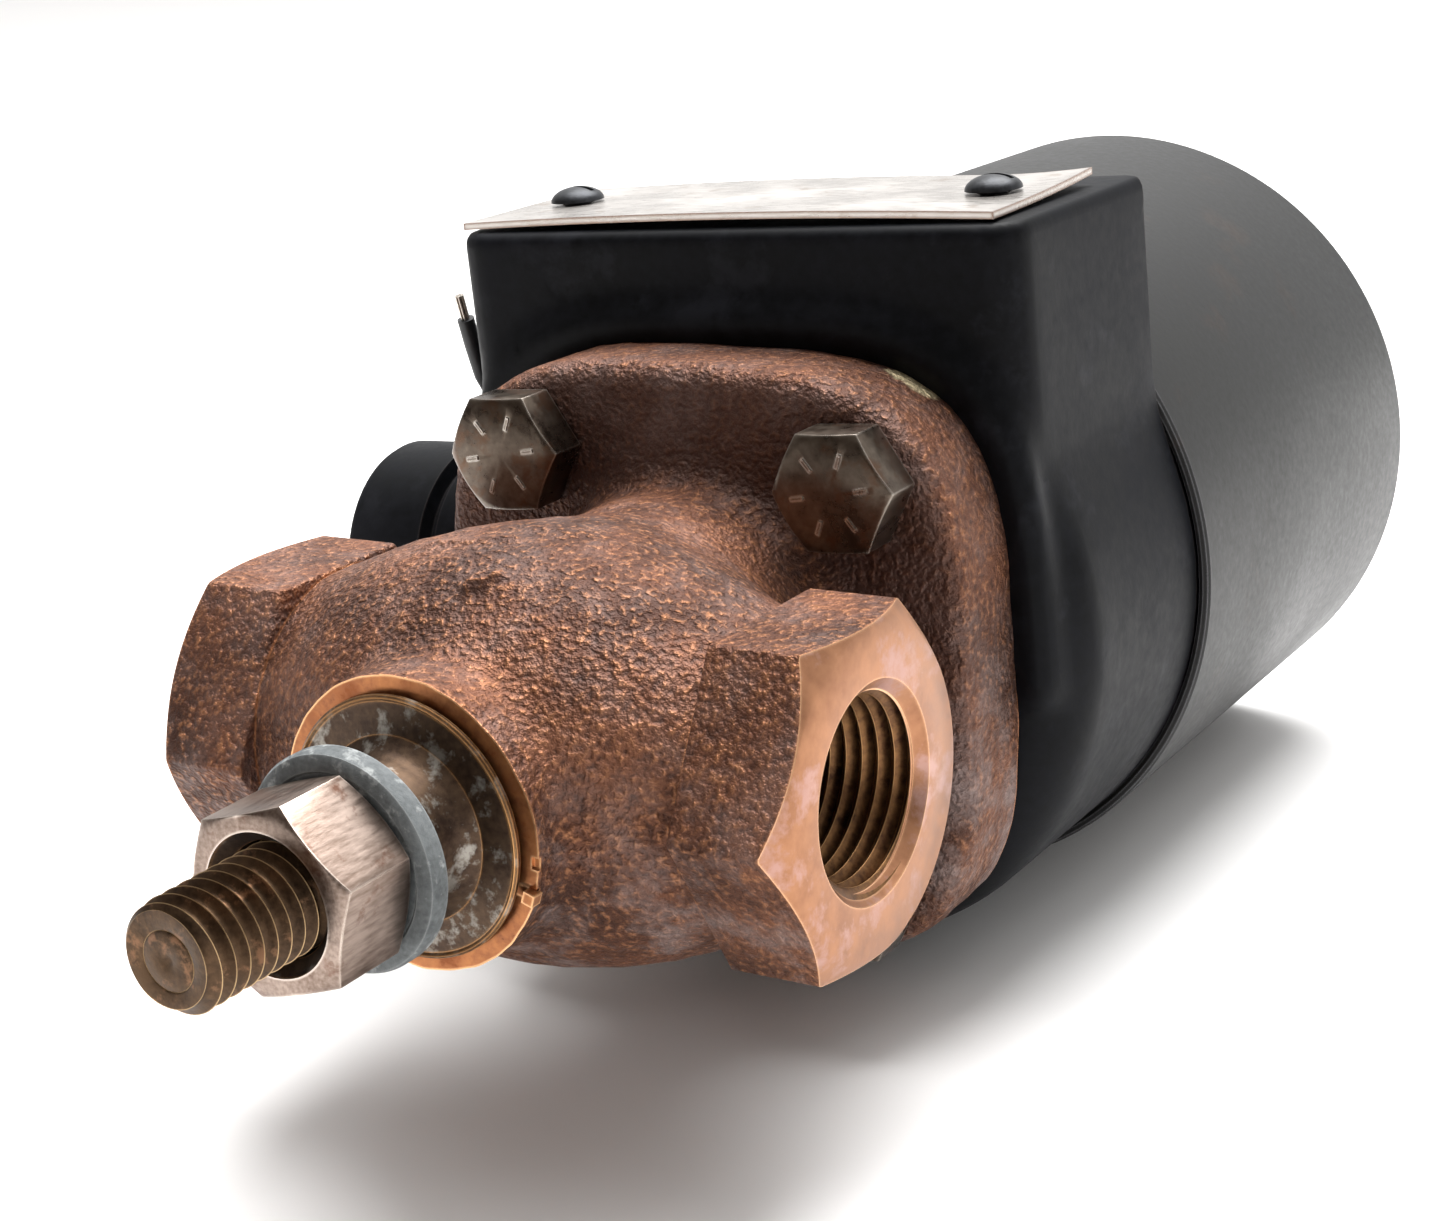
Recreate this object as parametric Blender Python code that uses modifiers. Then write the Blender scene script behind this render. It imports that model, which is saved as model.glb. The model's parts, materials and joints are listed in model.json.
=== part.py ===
"""Solenoid valve with a bronze globe body, a lying coil housing and a bottom lift stem.

The valve is modelled upright: x is the port axis, z the valve axis with the stem at -z and
the coil at +z, and the nameplate looks along -y. One empty then lays it on its back, so that
the can rests on the floor and the nameplate looks up. Dimensions are in millimetres.
"""
import math

import bmesh
import bpy
from mathutils import Matrix

MM = 0.001
GAP = 0.3                                   # clearance between touching solids

# Body casting
PORT_FACE = 38.1                            # axis to port face, half of 3 inches
HEX_FLATS = 33.5
HEX_INNER_END = 26.2
PORT_CHAMFER = (2.0, 16.5)                  # length, radius on the face
PORT_MOUTH_RADIUS = 10.75                   # 1/2 inch NPT
PORT_ROOT_RADIUS = 10.3
PORT_BORE_END = 18.0
GLOBE_RADIUS = 22.6
GLOBE_HALF_LENGTH = 36.0                    # of the ellipse that the globe follows
HEX_NECK_RADIUS = 17.2
BONNET_NECK_RADIUS = 20.5
FLANGE_HALF = 34.0
FLANGE_POWER = 3.5                          # superellipse exponent of the flange outline
FLANGE_BOTTOM, FLANGE_TOP = 28.0, 40.0
FLANGE_ROUND = 1.5
BOSS_RADIUS = 14.65
BOSS_FACE = -24.0
INLET_RADIUS = 8.5
INLET_END = 8.0
CHAMBER_RADIUS = 17.0
CHAMBER_FLOOR = 12.0

# Flange bolts, 5/16 inch
BOLT_SPACING = (21.1, 23.35)
BOLT_PATTERN_TURN = -1.8                    # degrees, seen from the stem
BOLT_HEAD_TURN = 5.0
BOLT_HEAD_FLATS = 12.7
BOLT_HEAD_HEIGHT = 5.5
BOLT_SHANK_RADIUS = 3.9
BOLT_END = 51.5

# Bottom stem, 7/16 inch
STEM_RADIUS = 5.5
STEM_TIP = -57.8
STEM_INNER_END = -6.0
STEM_TRAVEL = 6.0
NUT_FLATS = 17.46
NUT_FACE, NUT_BACK = -45.0, -35.3
NUT_TURN = -15.5
WASHER_RADIUS = 11.15
WASHER_FACE, WASHER_BACK = -35.0, -31.9

# Seat, disc and plunger
ORIFICE_RADIUS = 6.2
DISC_SCREW_FACE = 12.9
SEAT_LIP = 15.0
PLUNGER_RADIUS = 7.9
PLUNGER_BOTTOM, PLUNGER_TOP = 31.0, 105.7
TUBE_INNER_RADIUS, TUBE_OUTER_RADIUS = 8.3, 9.1
TUBE_BOTTOM, TUBE_TOP = 41.0, 146.0
STOP_FACE = 112.0
SPRING_BOTTOM = 85.6
SPRING_RADIUS = 3.1
SPRING_WIRE = 0.9
SPRING_TURNS = 7

# Housing
HOUSING_TURN = 2.3                          # degrees about the valve axis, nameplate side
BASE_FRONT, BASE_BACK = 40.3, 75.0
BASE_RADIUS = 41.0
BASE_WALL = 3.0
BASE_ROUND = 8.0
SHY = 0.05                                  # keeps the block's faces off the bowl's planes
BLOCK_HALF_WIDTH = 37.0
BLOCK_TOP = 46.7                            # valve axis to the face under the nameplate
SPIGOT_RADIUS = 40.4
SPIGOT_TOP = 80.0
CAN_RADIUS = 42.5
CAN_WALL = 1.5
CAN_TOP = 150.0
CAN_SIDES = 32
STUD_RADIUS = 3.9
STUD_END = 160.0
PLATE_THICKNESS = 0.8
PLATE_X = (-36.0, 34.0)
PLATE_Z = (42.3, 68.0)
PLATE_BOW = 0.6
PLATE_SCREW_X, PLATE_SCREW_Z = 28.0, 55.0
HUB_Z = 54.0
HUB_LIFT = 3.0                              # hub axis above the valve axis
HUB_MOUTH = -60.0
HUB_SHOULDER = -47.0
HUB_RADIUS = 14.5
HUB_INNER_RADIUS = 13.5
HUB_BORE = 10.5
LEAD_RADIUS = 1.1
LEAD_CORE_RADIUS = 0.55
LEAD_BARE = 3.2                             # stripped length at the free end

# Where the valve axis and port axis cross, above the middle of the footprint
AXES_CROSS = (8.75, -51.1, CAN_RADIUS)

for old in list(bpy.data.objects):
    bpy.data.objects.remove(old, do_unlink=True)


def new_collection(name):
    collection = bpy.data.collections.new(name)
    bpy.context.scene.collection.children.link(collection)
    return collection


PARTS = new_collection("solenoid_valve")
CUTTERS = new_collection("cutters")


def material(name, rgb, metallic, roughness):
    made = bpy.data.materials.new(name)
    made.use_nodes = True
    shader = made.node_tree.nodes["Principled BSDF"]
    shader.inputs["Base Color"].default_value = (*rgb, 1.0)
    shader.inputs["Metallic"].default_value = metallic
    shader.inputs["Roughness"].default_value = roughness
    return made


BRONZE = material("cast_bronze", (0.25, 0.10, 0.05), 0.8, 0.5)
BRASS = material("brass", (0.35, 0.24, 0.11), 1.0, 0.4)
STAINLESS = material("stainless_steel", (0.42, 0.38, 0.35), 1.0, 0.35)
PLATED = material("nickel_plate", (0.60, 0.52, 0.49), 1.0, 0.3)
STEEL = material("soft_steel", (0.30, 0.30, 0.31), 1.0, 0.45)
COPPER = material("copper", (0.72, 0.30, 0.18), 1.0, 0.3)
BLACK_PAINT = material("black_enamel", (0.012, 0.012, 0.015), 0.0, 0.35)
ALUMINIUM = material("aluminium_plate", (0.60, 0.58, 0.56), 1.0, 0.35)
FIBRE = material("grey_fibre", (0.10, 0.12, 0.14), 0.0, 0.8)
PTFE = material("ptfe", (0.80, 0.79, 0.75), 0.0, 0.5)
NYLON = material("black_nylon", (0.02, 0.02, 0.02), 0.0, 0.5)
TAPE = material("coil_varnish", (0.20, 0.06, 0.02), 0.2, 0.4)
INSULATION = material("lead_insulation", (0.015, 0.015, 0.018), 0.0, 0.55)
TINNED = material("tinned_copper", (0.55, 0.50, 0.46), 1.0, 0.4)


# --- Makers -------------------------------------------------------------------

def add(name, mesh, collection, finish=None):
    made = bpy.data.objects.new(name, mesh)
    collection.objects.link(made)
    if collection is CUTTERS:
        made.hide_render = True
        made.display_type = "WIRE"
    if finish:
        mesh.materials.append(finish)
    return made


def turned(name, profile, finish=None, steps=20, start=0.0, cutter=False):
    """Turn (radius, height) points about z; they run down the outer side.

    A profile that starts and ends on the axis is solid, and any other is a closed ring.
    """
    solid = profile[0][0] == 0.0 and profile[-1][0] == 0.0
    mesh = bpy.data.meshes.new(name)
    shape = bmesh.new()
    turn = math.radians(start)
    rim = []
    for radius, height in profile:
        x, y = radius * math.cos(turn), radius * math.sin(turn)
        rim.append(shape.verts.new((x * MM, y * MM, height * MM)))
    pairs = zip(rim, rim[1:]) if solid else zip(rim, rim[1:] + rim[:1])
    for pair in pairs:
        shape.edges.new(pair)
    shape.to_mesh(mesh)
    shape.free()
    made = add(name, mesh, CUTTERS if cutter else PARTS, finish)
    screw = made.modifiers.new("turn", "SCREW")
    screw.steps = screw.render_steps = steps
    screw.use_merge_vertices = True
    screw.merge_threshold = 0.00001
    return made


def ring(inner, outer, bottom, top):
    """The profile of a plain ring."""
    return [(outer, top), (outer, bottom), (inner, bottom), (inner, top)]


def rod(radius, bottom, top, edge=0.0):
    """The profile of a solid cylinder, with both rims chamfered if an edge is given."""
    outer = [(radius, top - edge), (radius, bottom + edge)]
    if edge:
        outer = [(radius - edge, top), *outer, (radius - edge, bottom)]
    return [(0.0, top), *outer, (0.0, bottom)]


def prism(name, sides, radius, bottom, top, turn=0.0, finish=None, cutter=False):
    """An upright prism whose first corner lies on +x before it is turned."""
    mesh = bpy.data.meshes.new(name)
    shape = bmesh.new()
    bmesh.ops.create_cone(shape, cap_ends=True, segments=sides, radius1=radius * MM,
                          radius2=radius * MM, depth=(top - bottom) * MM)
    bmesh.ops.rotate(shape, verts=shape.verts, matrix=Matrix.Rotation(math.radians(turn - 90.0), 3, "Z"))
    bmesh.ops.translate(shape, verts=shape.verts, vec=(0, 0, (top + bottom) / 2 * MM))
    shape.to_mesh(mesh)
    shape.free()
    return add(name, mesh, CUTTERS if cutter else PARTS, finish)


def extruded(name, outline, bottom, top, finish=None, cutter=False):
    """A flat outline of (x, y) points, filled and extruded along z, as a mesh."""
    curve = bpy.data.curves.new(name, "CURVE")
    curve.dimensions = "2D"
    curve.fill_mode = "BOTH"
    curve.extrude = (top - bottom) / 2 * MM
    spline = curve.splines.new("POLY")
    spline.points.add(len(outline) - 1)
    for point, (x, y) in zip(spline.points, outline):
        point.co = (x * MM, y * MM, 0, 1)
    spline.use_cyclic_u = True
    return from_curve(name, curve, (0, 0, (top + bottom) / 2), finish, cutter)


def from_curve(name, curve, location, finish=None, cutter=False):
    """Turn a curve into a welded mesh object and remove the curve."""
    guide = add(name + "_guide", curve, CUTTERS)
    depsgraph = bpy.context.evaluated_depsgraph_get()
    mesh = bpy.data.meshes.new_from_object(guide.evaluated_get(depsgraph))
    bpy.data.objects.remove(guide, do_unlink=True)
    shape = bmesh.new()
    shape.from_mesh(mesh)
    bmesh.ops.remove_doubles(shape, verts=shape.verts, dist=0.00001)
    bmesh.ops.recalc_face_normals(shape, faces=shape.faces)
    bmesh.ops.translate(shape, verts=shape.verts, vec=[value * MM for value in location])
    shape.to_mesh(mesh)
    shape.free()
    mesh.materials.clear()
    return add(name, mesh, CUTTERS if cutter else PARTS, finish)


def boolean(target, other, operation):
    modifier = target.modifiers.new(other.name, "BOOLEAN")
    modifier.operation = operation
    modifier.object = other
    modifier.solver = "EXACT"


def cut(target, *cutters):
    for cutter in cutters:
        boolean(target, cutter, "DIFFERENCE")


def join(target, *others):
    for other in others:
        boolean(target, other, "UNION")


def bore(name, radius, bottom, top, steps=16):
    return turned(name, rod(radius, bottom, top), steps=steps, cutter=True)


def move(made, x=0.0, y=0.0, z=0.0):
    made.location = (x * MM, y * MM, z * MM)
    return made


def lay_along_x(made):
    """Turn a piece made along z so that its top looks along +x."""
    made.rotation_euler = (0, math.radians(90), 0)
    return made


def superellipse(half, power, count=36):
    points = []
    for step in range(count):
        angle = 2 * math.pi * (step + 0.5) / count
        c, s = math.cos(angle), math.sin(angle)
        x = math.copysign(abs(c) ** (2 / power), c) * half
        y = math.copysign(abs(s) ** (2 / power), s) * half
        points.append((x, y))
    return points


def bolt_places():
    """The four bolt axes, from the turned rectangle of the flange."""
    angle = math.radians(BOLT_PATTERN_TURN)
    places = []
    for side_x, side_y in ((1, -1), (-1, -1), (-1, 1), (1, 1)):
        x, y = side_x * BOLT_SPACING[0], side_y * BOLT_SPACING[1]
        places.append((x * math.cos(angle) + y * math.sin(angle),
                       y * math.cos(angle) - x * math.sin(angle)))
    return places


# --- Body casting -------------------------------------------------------------

def globe_profile():
    """Half section along the port axis, from one hexagon to the other."""
    reach = HEX_INNER_END + 1.0
    points = [(0.0, reach)]
    for step in range(11):
        height = reach * (1 - step / 5)
        ellipse = GLOBE_RADIUS * math.sqrt(1 - (height / GLOBE_HALF_LENGTH) ** 2)
        points.append((max(ellipse, HEX_NECK_RADIUS), height))
    return [*points, (0.0, -reach)]


def hexagon_ends():
    """The chamfered hexagons at both ports, joined by a thin core inside the globe."""
    corner = HEX_FLATS / math.sqrt(3)
    length, face_radius = PORT_CHAMFER
    envelope = [(face_radius, PORT_FACE), (corner + 0.4, PORT_FACE - length),
                (corner + 0.4, HEX_INNER_END), (HEX_NECK_RADIUS - 3, HEX_INNER_END - 2)]
    lower = [(radius, -height) for radius, height in reversed(envelope)]
    ends = prism("hexagon_ends", 6, corner, -PORT_FACE, PORT_FACE, cutter=True)
    profile = [(0.0, PORT_FACE), *envelope, *lower, (0.0, -PORT_FACE)]
    limit = turned("hexagon_envelope", profile, steps=32, cutter=True)
    boolean(ends, limit, "INTERSECT")
    lay_along_x(limit)
    return lay_along_x(ends)


def body_cutters():
    mouth = PORT_FACE + 1.0
    cutters = []
    for name, side in (("inlet_thread", -1), ("outlet_thread", 1)):
        taper = [(0.0, mouth), (PORT_MOUTH_RADIUS, mouth), (PORT_ROOT_RADIUS, PORT_BORE_END),
                 (0.0, PORT_BORE_END)]
        if side < 0:
            taper = [(radius, -height) for radius, height in reversed(taper)]
        cutters.append(lay_along_x(turned(name, taper, steps=24, cutter=True)))
    cutters.append(lay_along_x(bore("inlet_passage", INLET_RADIUS, -PORT_BORE_END - 1, INLET_END)))
    cutters.append(bore("upper_chamber", CHAMBER_RADIUS, CHAMBER_FLOOR, FLANGE_TOP + 1, 24))
    cutters.append(bore("gasket_recess", 24.3, FLANGE_TOP - 1.5, FLANGE_TOP + 1, 24))
    cutters.append(bore("seat_hole", 8.5, 4.0, CHAMBER_FLOOR + 1))
    cutters.append(bore("bushing_hole", 10.3, BOSS_FACE - 1, -13.0))
    cutters.append(bore("stem_hole", 6.5, -14.0, -4.0))
    outlet = bore("outlet_passage", 5.0, -1.0, 18.0)
    outlet.rotation_euler = (0, math.radians(-26.6), 0)
    cutters.append(move(outlet, 20.0, 0.0, 0.0))
    for number, (x, y) in enumerate(bolt_places(), 1):
        hole = bore(f"flange_hole_{number}", BOLT_SHANK_RADIUS + GAP, 26.0, FLANGE_TOP + 1, 12)
        cutters.append(move(hole, x, y))
    return cutters


def valve_body():
    body = lay_along_x(turned("valve_body", globe_profile(), BRONZE, steps=32))
    neck = turned("bonnet_neck", [(0.0, 30.0), (23.6, 30.0), (23.6, 28.0), (21.6, 25.0),
                                  (BONNET_NECK_RADIUS, 21.0), (BONNET_NECK_RADIUS, 6.0),
                                  (0.0, 6.0)], steps=32, cutter=True)
    boss = turned("bottom_boss", [(0.0, -12.0), (16.5, -17.0), (15.0, -20.0),
                                  (BOSS_RADIUS, -21.5), (BOSS_RADIUS, BOSS_FACE + 0.4),
                                  (BOSS_RADIUS - 0.4, BOSS_FACE), (0.0, BOSS_FACE)],
                  steps=32, cutter=True)
    flange = extruded("flange", superellipse(FLANGE_HALF, FLANGE_POWER), FLANGE_BOTTOM,
                      FLANGE_TOP, cutter=True)
    rounded = flange.modifiers.new("rim", "BEVEL")
    rounded.width = FLANGE_ROUND * MM
    rounded.segments = 1
    rounded.limit_method = "ANGLE"
    rounded.angle_limit = math.radians(60)
    join(body, hexagon_ends(), neck, boss, flange)
    cut(body, *body_cutters())
    return body


def flange_bolts():
    head_top = FLANGE_BOTTOM - GAP
    head_face = head_top - BOLT_HEAD_HEIGHT
    corner = BOLT_HEAD_FLATS / math.sqrt(3)
    for number, (x, y) in enumerate(bolt_places(), 1):
        bolt = prism(f"flange_bolt_{number}", 6, corner, head_face, head_top, BOLT_HEAD_TURN, STAINLESS)
        face = turned(f"bolt_face_{number}", [(0.0, head_top + 1), (corner + 1, head_top + 1),
                      (corner + 1, head_face + 1.6), (5.9, head_face), (0.0, head_face)],
                      cutter=True)
        shank = bore(f"bolt_shank_{number}", BOLT_SHANK_RADIUS, head_top - 2, BOLT_END, 16)
        boolean(bolt, face, "INTERSECT")
        join(bolt, shank)
        for piece in (bolt, face, shank):
            move(piece, x, y)


# --- Bottom stem --------------------------------------------------------------

def bottom_bushing():
    turned("bottom_bushing", [(10.0, -13.3), (10.0, BOSS_FACE + 0.2), (9.0, BOSS_FACE - 1.0),
                              (8.0, BOSS_FACE - 2.2), (8.0, WASHER_BACK + GAP),
                              (7.6, WASHER_BACK + GAP), (7.6, -27.0), (5.8, -27.0),
                              (5.8, -13.3)], BRASS)


def stem_packing():
    turned("stem_packing", ring(5.8, 7.3, WASHER_BACK + 2 * GAP, -27.3), PTFE)


def sealing_washer():
    edge = 0.8
    turned("sealing_washer", [(WASHER_RADIUS - edge, WASHER_BACK), (WASHER_RADIUS, WASHER_BACK - edge),
                              (WASHER_RADIUS, WASHER_FACE + edge), (WASHER_RADIUS - edge, WASHER_FACE),
                              (5.8, WASHER_FACE), (5.8, WASHER_BACK)], FIBRE, steps=32)


def lock_nut():
    corner = NUT_FLATS / math.sqrt(3)
    nut = prism("lock_nut", 6, corner, NUT_FACE, NUT_BACK, NUT_TURN, PLATED)
    rims = turned("nut_rims", [(0.0, NUT_BACK), (8.9, NUT_BACK), (10.8, NUT_BACK - 1.1),
                               (10.8, NUT_FACE + 1.1), (8.9, NUT_FACE), (0.0, NUT_FACE)],
                  cutter=True)
    hole = turned("nut_hole", [(0.0, NUT_BACK + 1), (5.8, NUT_BACK + 1), (5.8, NUT_FACE + 2.2),
                               (7.3, NUT_FACE + 0.4), (7.3, NUT_FACE - 1), (0.0, NUT_FACE - 1)],
                  cutter=True)
    boolean(nut, rims, "INTERSECT")
    cut(nut, hole)


def manual_stem():
    socket_radius, socket_bottom = 2.3, STEM_INNER_END - 8.0
    turned("manual_stem", [(0.0, socket_bottom), (socket_radius, socket_bottom),
                           (socket_radius, STEM_INNER_END), (STEM_RADIUS, STEM_INNER_END),
                           (STEM_RADIUS, STEM_TIP + 0.6), (STEM_RADIUS - 0.6, STEM_TIP),
                           (0.0, STEM_TIP)], BRASS)


def push_tip():
    """The swivelling pin that the stem pushes under the disc."""
    top = DISC_SCREW_FACE - STEM_TRAVEL - GAP
    shoulder = STEM_INNER_END + GAP
    turned("push_tip", [(0.0, top), (2.4, top), (3.2, top - 0.8), (3.2, shoulder),
                        (2.0, shoulder), (2.0, STEM_INNER_END - 7.7),
                        (0.0, STEM_INNER_END - 7.7)], STAINLESS, steps=20)


# --- Seat, disc and plunger ---------------------------------------------------

def seat_ring():
    collar = CHAMBER_FLOOR + GAP
    turned("seat_ring", [(7.0, SEAT_LIP), (7.6, collar + 1.5), (11.0, collar + 1.5),
                         (11.0, collar), (8.2, collar), (8.2, 7.6), (ORIFICE_RADIUS, 7.6),
                         (ORIFICE_RADIUS, SEAT_LIP)], STAINLESS)


def seat_disc():
    turned("seat_disc", ring(2.4, 7.7, SEAT_LIP + GAP, 18.6), PTFE)


def disc_screw():
    head = SEAT_LIP
    turned("disc_screw", [(0.0, 24.6), (2.1, 24.6), (2.1, head), (3.8, head),
                          (3.8, head - 1.5), (3.2, DISC_SCREW_FACE), (0.0, DISC_SCREW_FACE)],
           STAINLESS, steps=20)


def disc_holder():
    turned("disc_holder", [(9.2, 27.0), (9.2, SEAT_LIP + 2 * GAP), (8.0, SEAT_LIP + 2 * GAP),
                           (8.0, 18.9), (2.4, 18.9), (2.4, 20.2), (3.7, 20.2), (3.7, 27.0)],
           BRASS)


def plunger():
    """The iron core: a neck in the disc holder below and the spring's pocket above."""
    neck_top = PLUNGER_BOTTOM - 3.7
    turned("plunger", [(0.0, SPRING_BOTTOM - GAP), (4.2, SPRING_BOTTOM - GAP), (4.2, PLUNGER_TOP),
                       (PLUNGER_RADIUS - 0.4, PLUNGER_TOP), (PLUNGER_RADIUS, PLUNGER_TOP - 0.4),
                       (PLUNGER_RADIUS, PLUNGER_BOTTOM + 0.4),
                       (PLUNGER_RADIUS - 0.4, PLUNGER_BOTTOM), (5.0, neck_top), (3.4, neck_top),
                       (3.4, 20.5), (2.4, 20.5), (2.4, 25.0), (0.0, 25.0)], STEEL)


def plunger_spring():
    """A round-wire helix between the pocket's floor and the core stop."""
    wire = SPRING_WIRE / 2
    bottom, top = SPRING_BOTTOM + wire, STOP_FACE - GAP - wire
    steps = SPRING_TURNS * 8
    curve = bpy.data.curves.new("plunger_spring", "CURVE")
    curve.dimensions = "3D"
    curve.bevel_depth = wire * MM
    curve.bevel_resolution = 2
    curve.use_fill_caps = True
    spline = curve.splines.new("POLY")
    spline.points.add(steps)
    for step, point in enumerate(spline.points):
        angle = 2 * math.pi * step / 8
        height = bottom + (top - bottom) * step / steps
        point.co = (SPRING_RADIUS * MM * math.cos(angle), SPRING_RADIUS * MM * math.sin(angle),
                    height * MM, 1)
    from_curve("plunger_spring", curve, (0, 0, 0), STAINLESS)


def core_tube():
    flange_top = TUBE_BOTTOM + 2.3
    turned("core_tube", [(TUBE_OUTER_RADIUS, TUBE_TOP), (TUBE_OUTER_RADIUS, flange_top),
                         (13.0, flange_top), (13.0, TUBE_BOTTOM), (TUBE_INNER_RADIUS, TUBE_BOTTOM),
                         (TUBE_INNER_RADIUS, TUBE_TOP)], STAINLESS)


def core_stop():
    """The fixed core, with the shading ring's groove in its face and the housing's stud."""
    radius, shoulder, groove = TUBE_INNER_RADIUS - GAP, 147.8, STOP_FACE + 2.5
    turned("core_stop", [(0.0, STUD_END), (STUD_RADIUS - 0.5, STUD_END), (STUD_RADIUS, STUD_END - 0.5),
                         (STUD_RADIUS, shoulder), (radius, shoulder), (radius, STOP_FACE),
                         (6.7, STOP_FACE), (6.7, groove), (5.0, groove), (5.0, STOP_FACE),
                         (0.0, STOP_FACE)], STEEL)


def shading_ring():
    turned("shading_ring", ring(5.3, 6.4, STOP_FACE + 0.3, STOP_FACE + 2.2), COPPER, steps=24)


# --- Bonnet and coil ----------------------------------------------------------

def body_gasket():
    turned("body_gasket", ring(18.0, 23.8, FLANGE_TOP - 1.2, FLANGE_TOP + GAP), FIBRE)


def bonnet():
    """The round steel plate that takes the bolts, with a spigot through the housing."""
    plate_bottom = BASE_FRONT + BASE_WALL + GAP
    plate_top, face = plate_bottom + 8.4, FLANGE_TOP + 2 * GAP
    plate = turned("bonnet", [(36.6, plate_top), (36.6, 47.5), (32.5, plate_bottom), (24.0, plate_bottom),
                              (24.0, face), (13.3, face), (13.3, plate_bottom),
                              (9.4, plate_bottom), (9.4, plate_top)], STEEL, steps=32)
    for number, (x, y) in enumerate(bolt_places(), 1):
        hole = bore(f"bonnet_thread_{number}", BOLT_SHANK_RADIUS + GAP, 42.0, plate_top + 1, 12)
        cut(plate, move(hole, x, y))


def coil_parts():
    turned("spacer_sleeve", ring(9.5, 12.5, 52.3, 75.7), STEEL)
    turned("front_flux_plate", ring(9.5, 37.6, 76.0, 79.0), STEEL, steps=32)
    turned("coil_bobbin", [(34.0, 141.0), (34.0, 139.0), (11.5, 139.0), (11.5, 81.3),
                           (34.0, 81.3), (34.0, 79.3), (9.5, 79.3), (9.5, 141.0)], NYLON)
    turned("coil_winding", ring(11.8, 33.5, 81.6, 138.7), TAPE)
    turned("rear_flux_plate", ring(9.5, 40.4, 141.3, 145.0), STEEL, steps=32)
    turned("spring_washer", ring(20.0, 30.0, 145.3, 148.2), STAINLESS)


def coil_can():
    """The deep-drawn cover; one flat of its outline faces the floor."""
    radius = CAN_RADIUS / math.cos(math.pi / CAN_SIDES)
    inner, hole, bottom = radius - CAN_WALL, STUD_RADIUS + 0.4, BASE_BACK + GAP
    turned("coil_can", [(hole, CAN_TOP), (radius - 2.0, CAN_TOP), (radius - 0.6, CAN_TOP - 0.6),
                        (radius, CAN_TOP - 2.0), (radius, bottom), (inner, bottom),
                        (inner, CAN_TOP - CAN_WALL), (hole, CAN_TOP - CAN_WALL)],
           BLACK_PAINT, steps=CAN_SIDES, start=180 / CAN_SIDES)


def end_fasteners():
    washer_top = CAN_TOP + GAP + 1.5
    turned("end_washer", ring(STUD_RADIUS + 0.4, 9.0, CAN_TOP + GAP, washer_top), PLATED, steps=24)
    nut = prism("end_nut", 6, BOLT_HEAD_FLATS / math.sqrt(3), washer_top + GAP, washer_top + 6.8,
                finish=PLATED)
    cut(nut, bore("end_nut_hole", STUD_RADIUS + GAP, washer_top, washer_top + 8, 16))


# --- Housing ------------------------------------------------------------------

def arc(centre_x, centre_y, radius, first, last, count):
    """Points along an arc, angles in degrees."""
    points = []
    for step in range(count + 1):
        angle = math.radians(first + (last - first) * step / count)
        points.append((centre_x + radius * math.cos(angle), centre_y + radius * math.sin(angle)))
    return points


def block(name, inset, top, cutter=True):
    """The square side of the housing, its upright front edges rounded, along -y."""
    half, front = BLOCK_HALF_WIDTH - inset, BASE_FRONT + inset + SHY
    radius = BASE_ROUND - inset
    outline = [*arc(half - radius, front + radius, radius, 0, -90, 4),
               *arc(radius - half, front + radius, radius, -90, -180, 4), (-half, top), (half, top)]
    made = extruded(name, outline, 0.0, BLOCK_TOP - inset, cutter=cutter)
    made.rotation_euler = (math.radians(90), 0, 0)
    return made


def bowl(radius, front, rim, top):
    """The round side of the housing, solid, with a rounded front rim."""
    return [(0.0, top), (radius, top), *arc(radius - rim, front + rim, rim, 0, -90, 4),
            (0.0, front)]


def housing_base():
    outer = bowl(BASE_RADIUS, BASE_FRONT, BASE_ROUND, BASE_BACK)
    spigot = [(0.0, SPIGOT_TOP), (SPIGOT_RADIUS, SPIGOT_TOP), (SPIGOT_RADIUS, BASE_BACK)]
    inner_radius, inner_front = BASE_RADIUS - BASE_WALL, BASE_FRONT + BASE_WALL
    base = turned("housing_base", [*spigot, *outer[1:]], BLACK_PAINT, steps=32)
    cavity = turned("housing_cavity", bowl(inner_radius, inner_front, BASE_ROUND - BASE_WALL,
                                           SPIGOT_TOP + 1), steps=32, start=3.0, cutter=True)
    join(base, block("housing_block", 0.0, BASE_BACK - SHY))
    cut(base, cavity, block("block_cavity", BASE_WALL, BASE_BACK - BASE_WALL),
        bore("spigot_hole", 24.5, BASE_FRONT - 1, inner_front + 1, 24))
    lead_hole = bore("lead_hole", HUB_BORE, -BASE_RADIUS - 2, -BASE_RADIUS + 8)
    cut(base, move(lay_along_x(lead_hole), 0, -HUB_LIFT, HUB_Z))
    for number, x in enumerate((-PLATE_SCREW_X, PLATE_SCREW_X), 1):
        cut(base, face_nameplate(bore(f"rivet_hole_{number}", 1.9, 40.0, 50.0, 12), x))
    return base


def face_nameplate(made, x):
    """Turn a piece made along z so that its top looks along -y, at a nameplate screw."""
    made.rotation_euler = (math.radians(90), 0, 0)
    return move(made, x, 0.0, PLATE_SCREW_Z)


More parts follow.
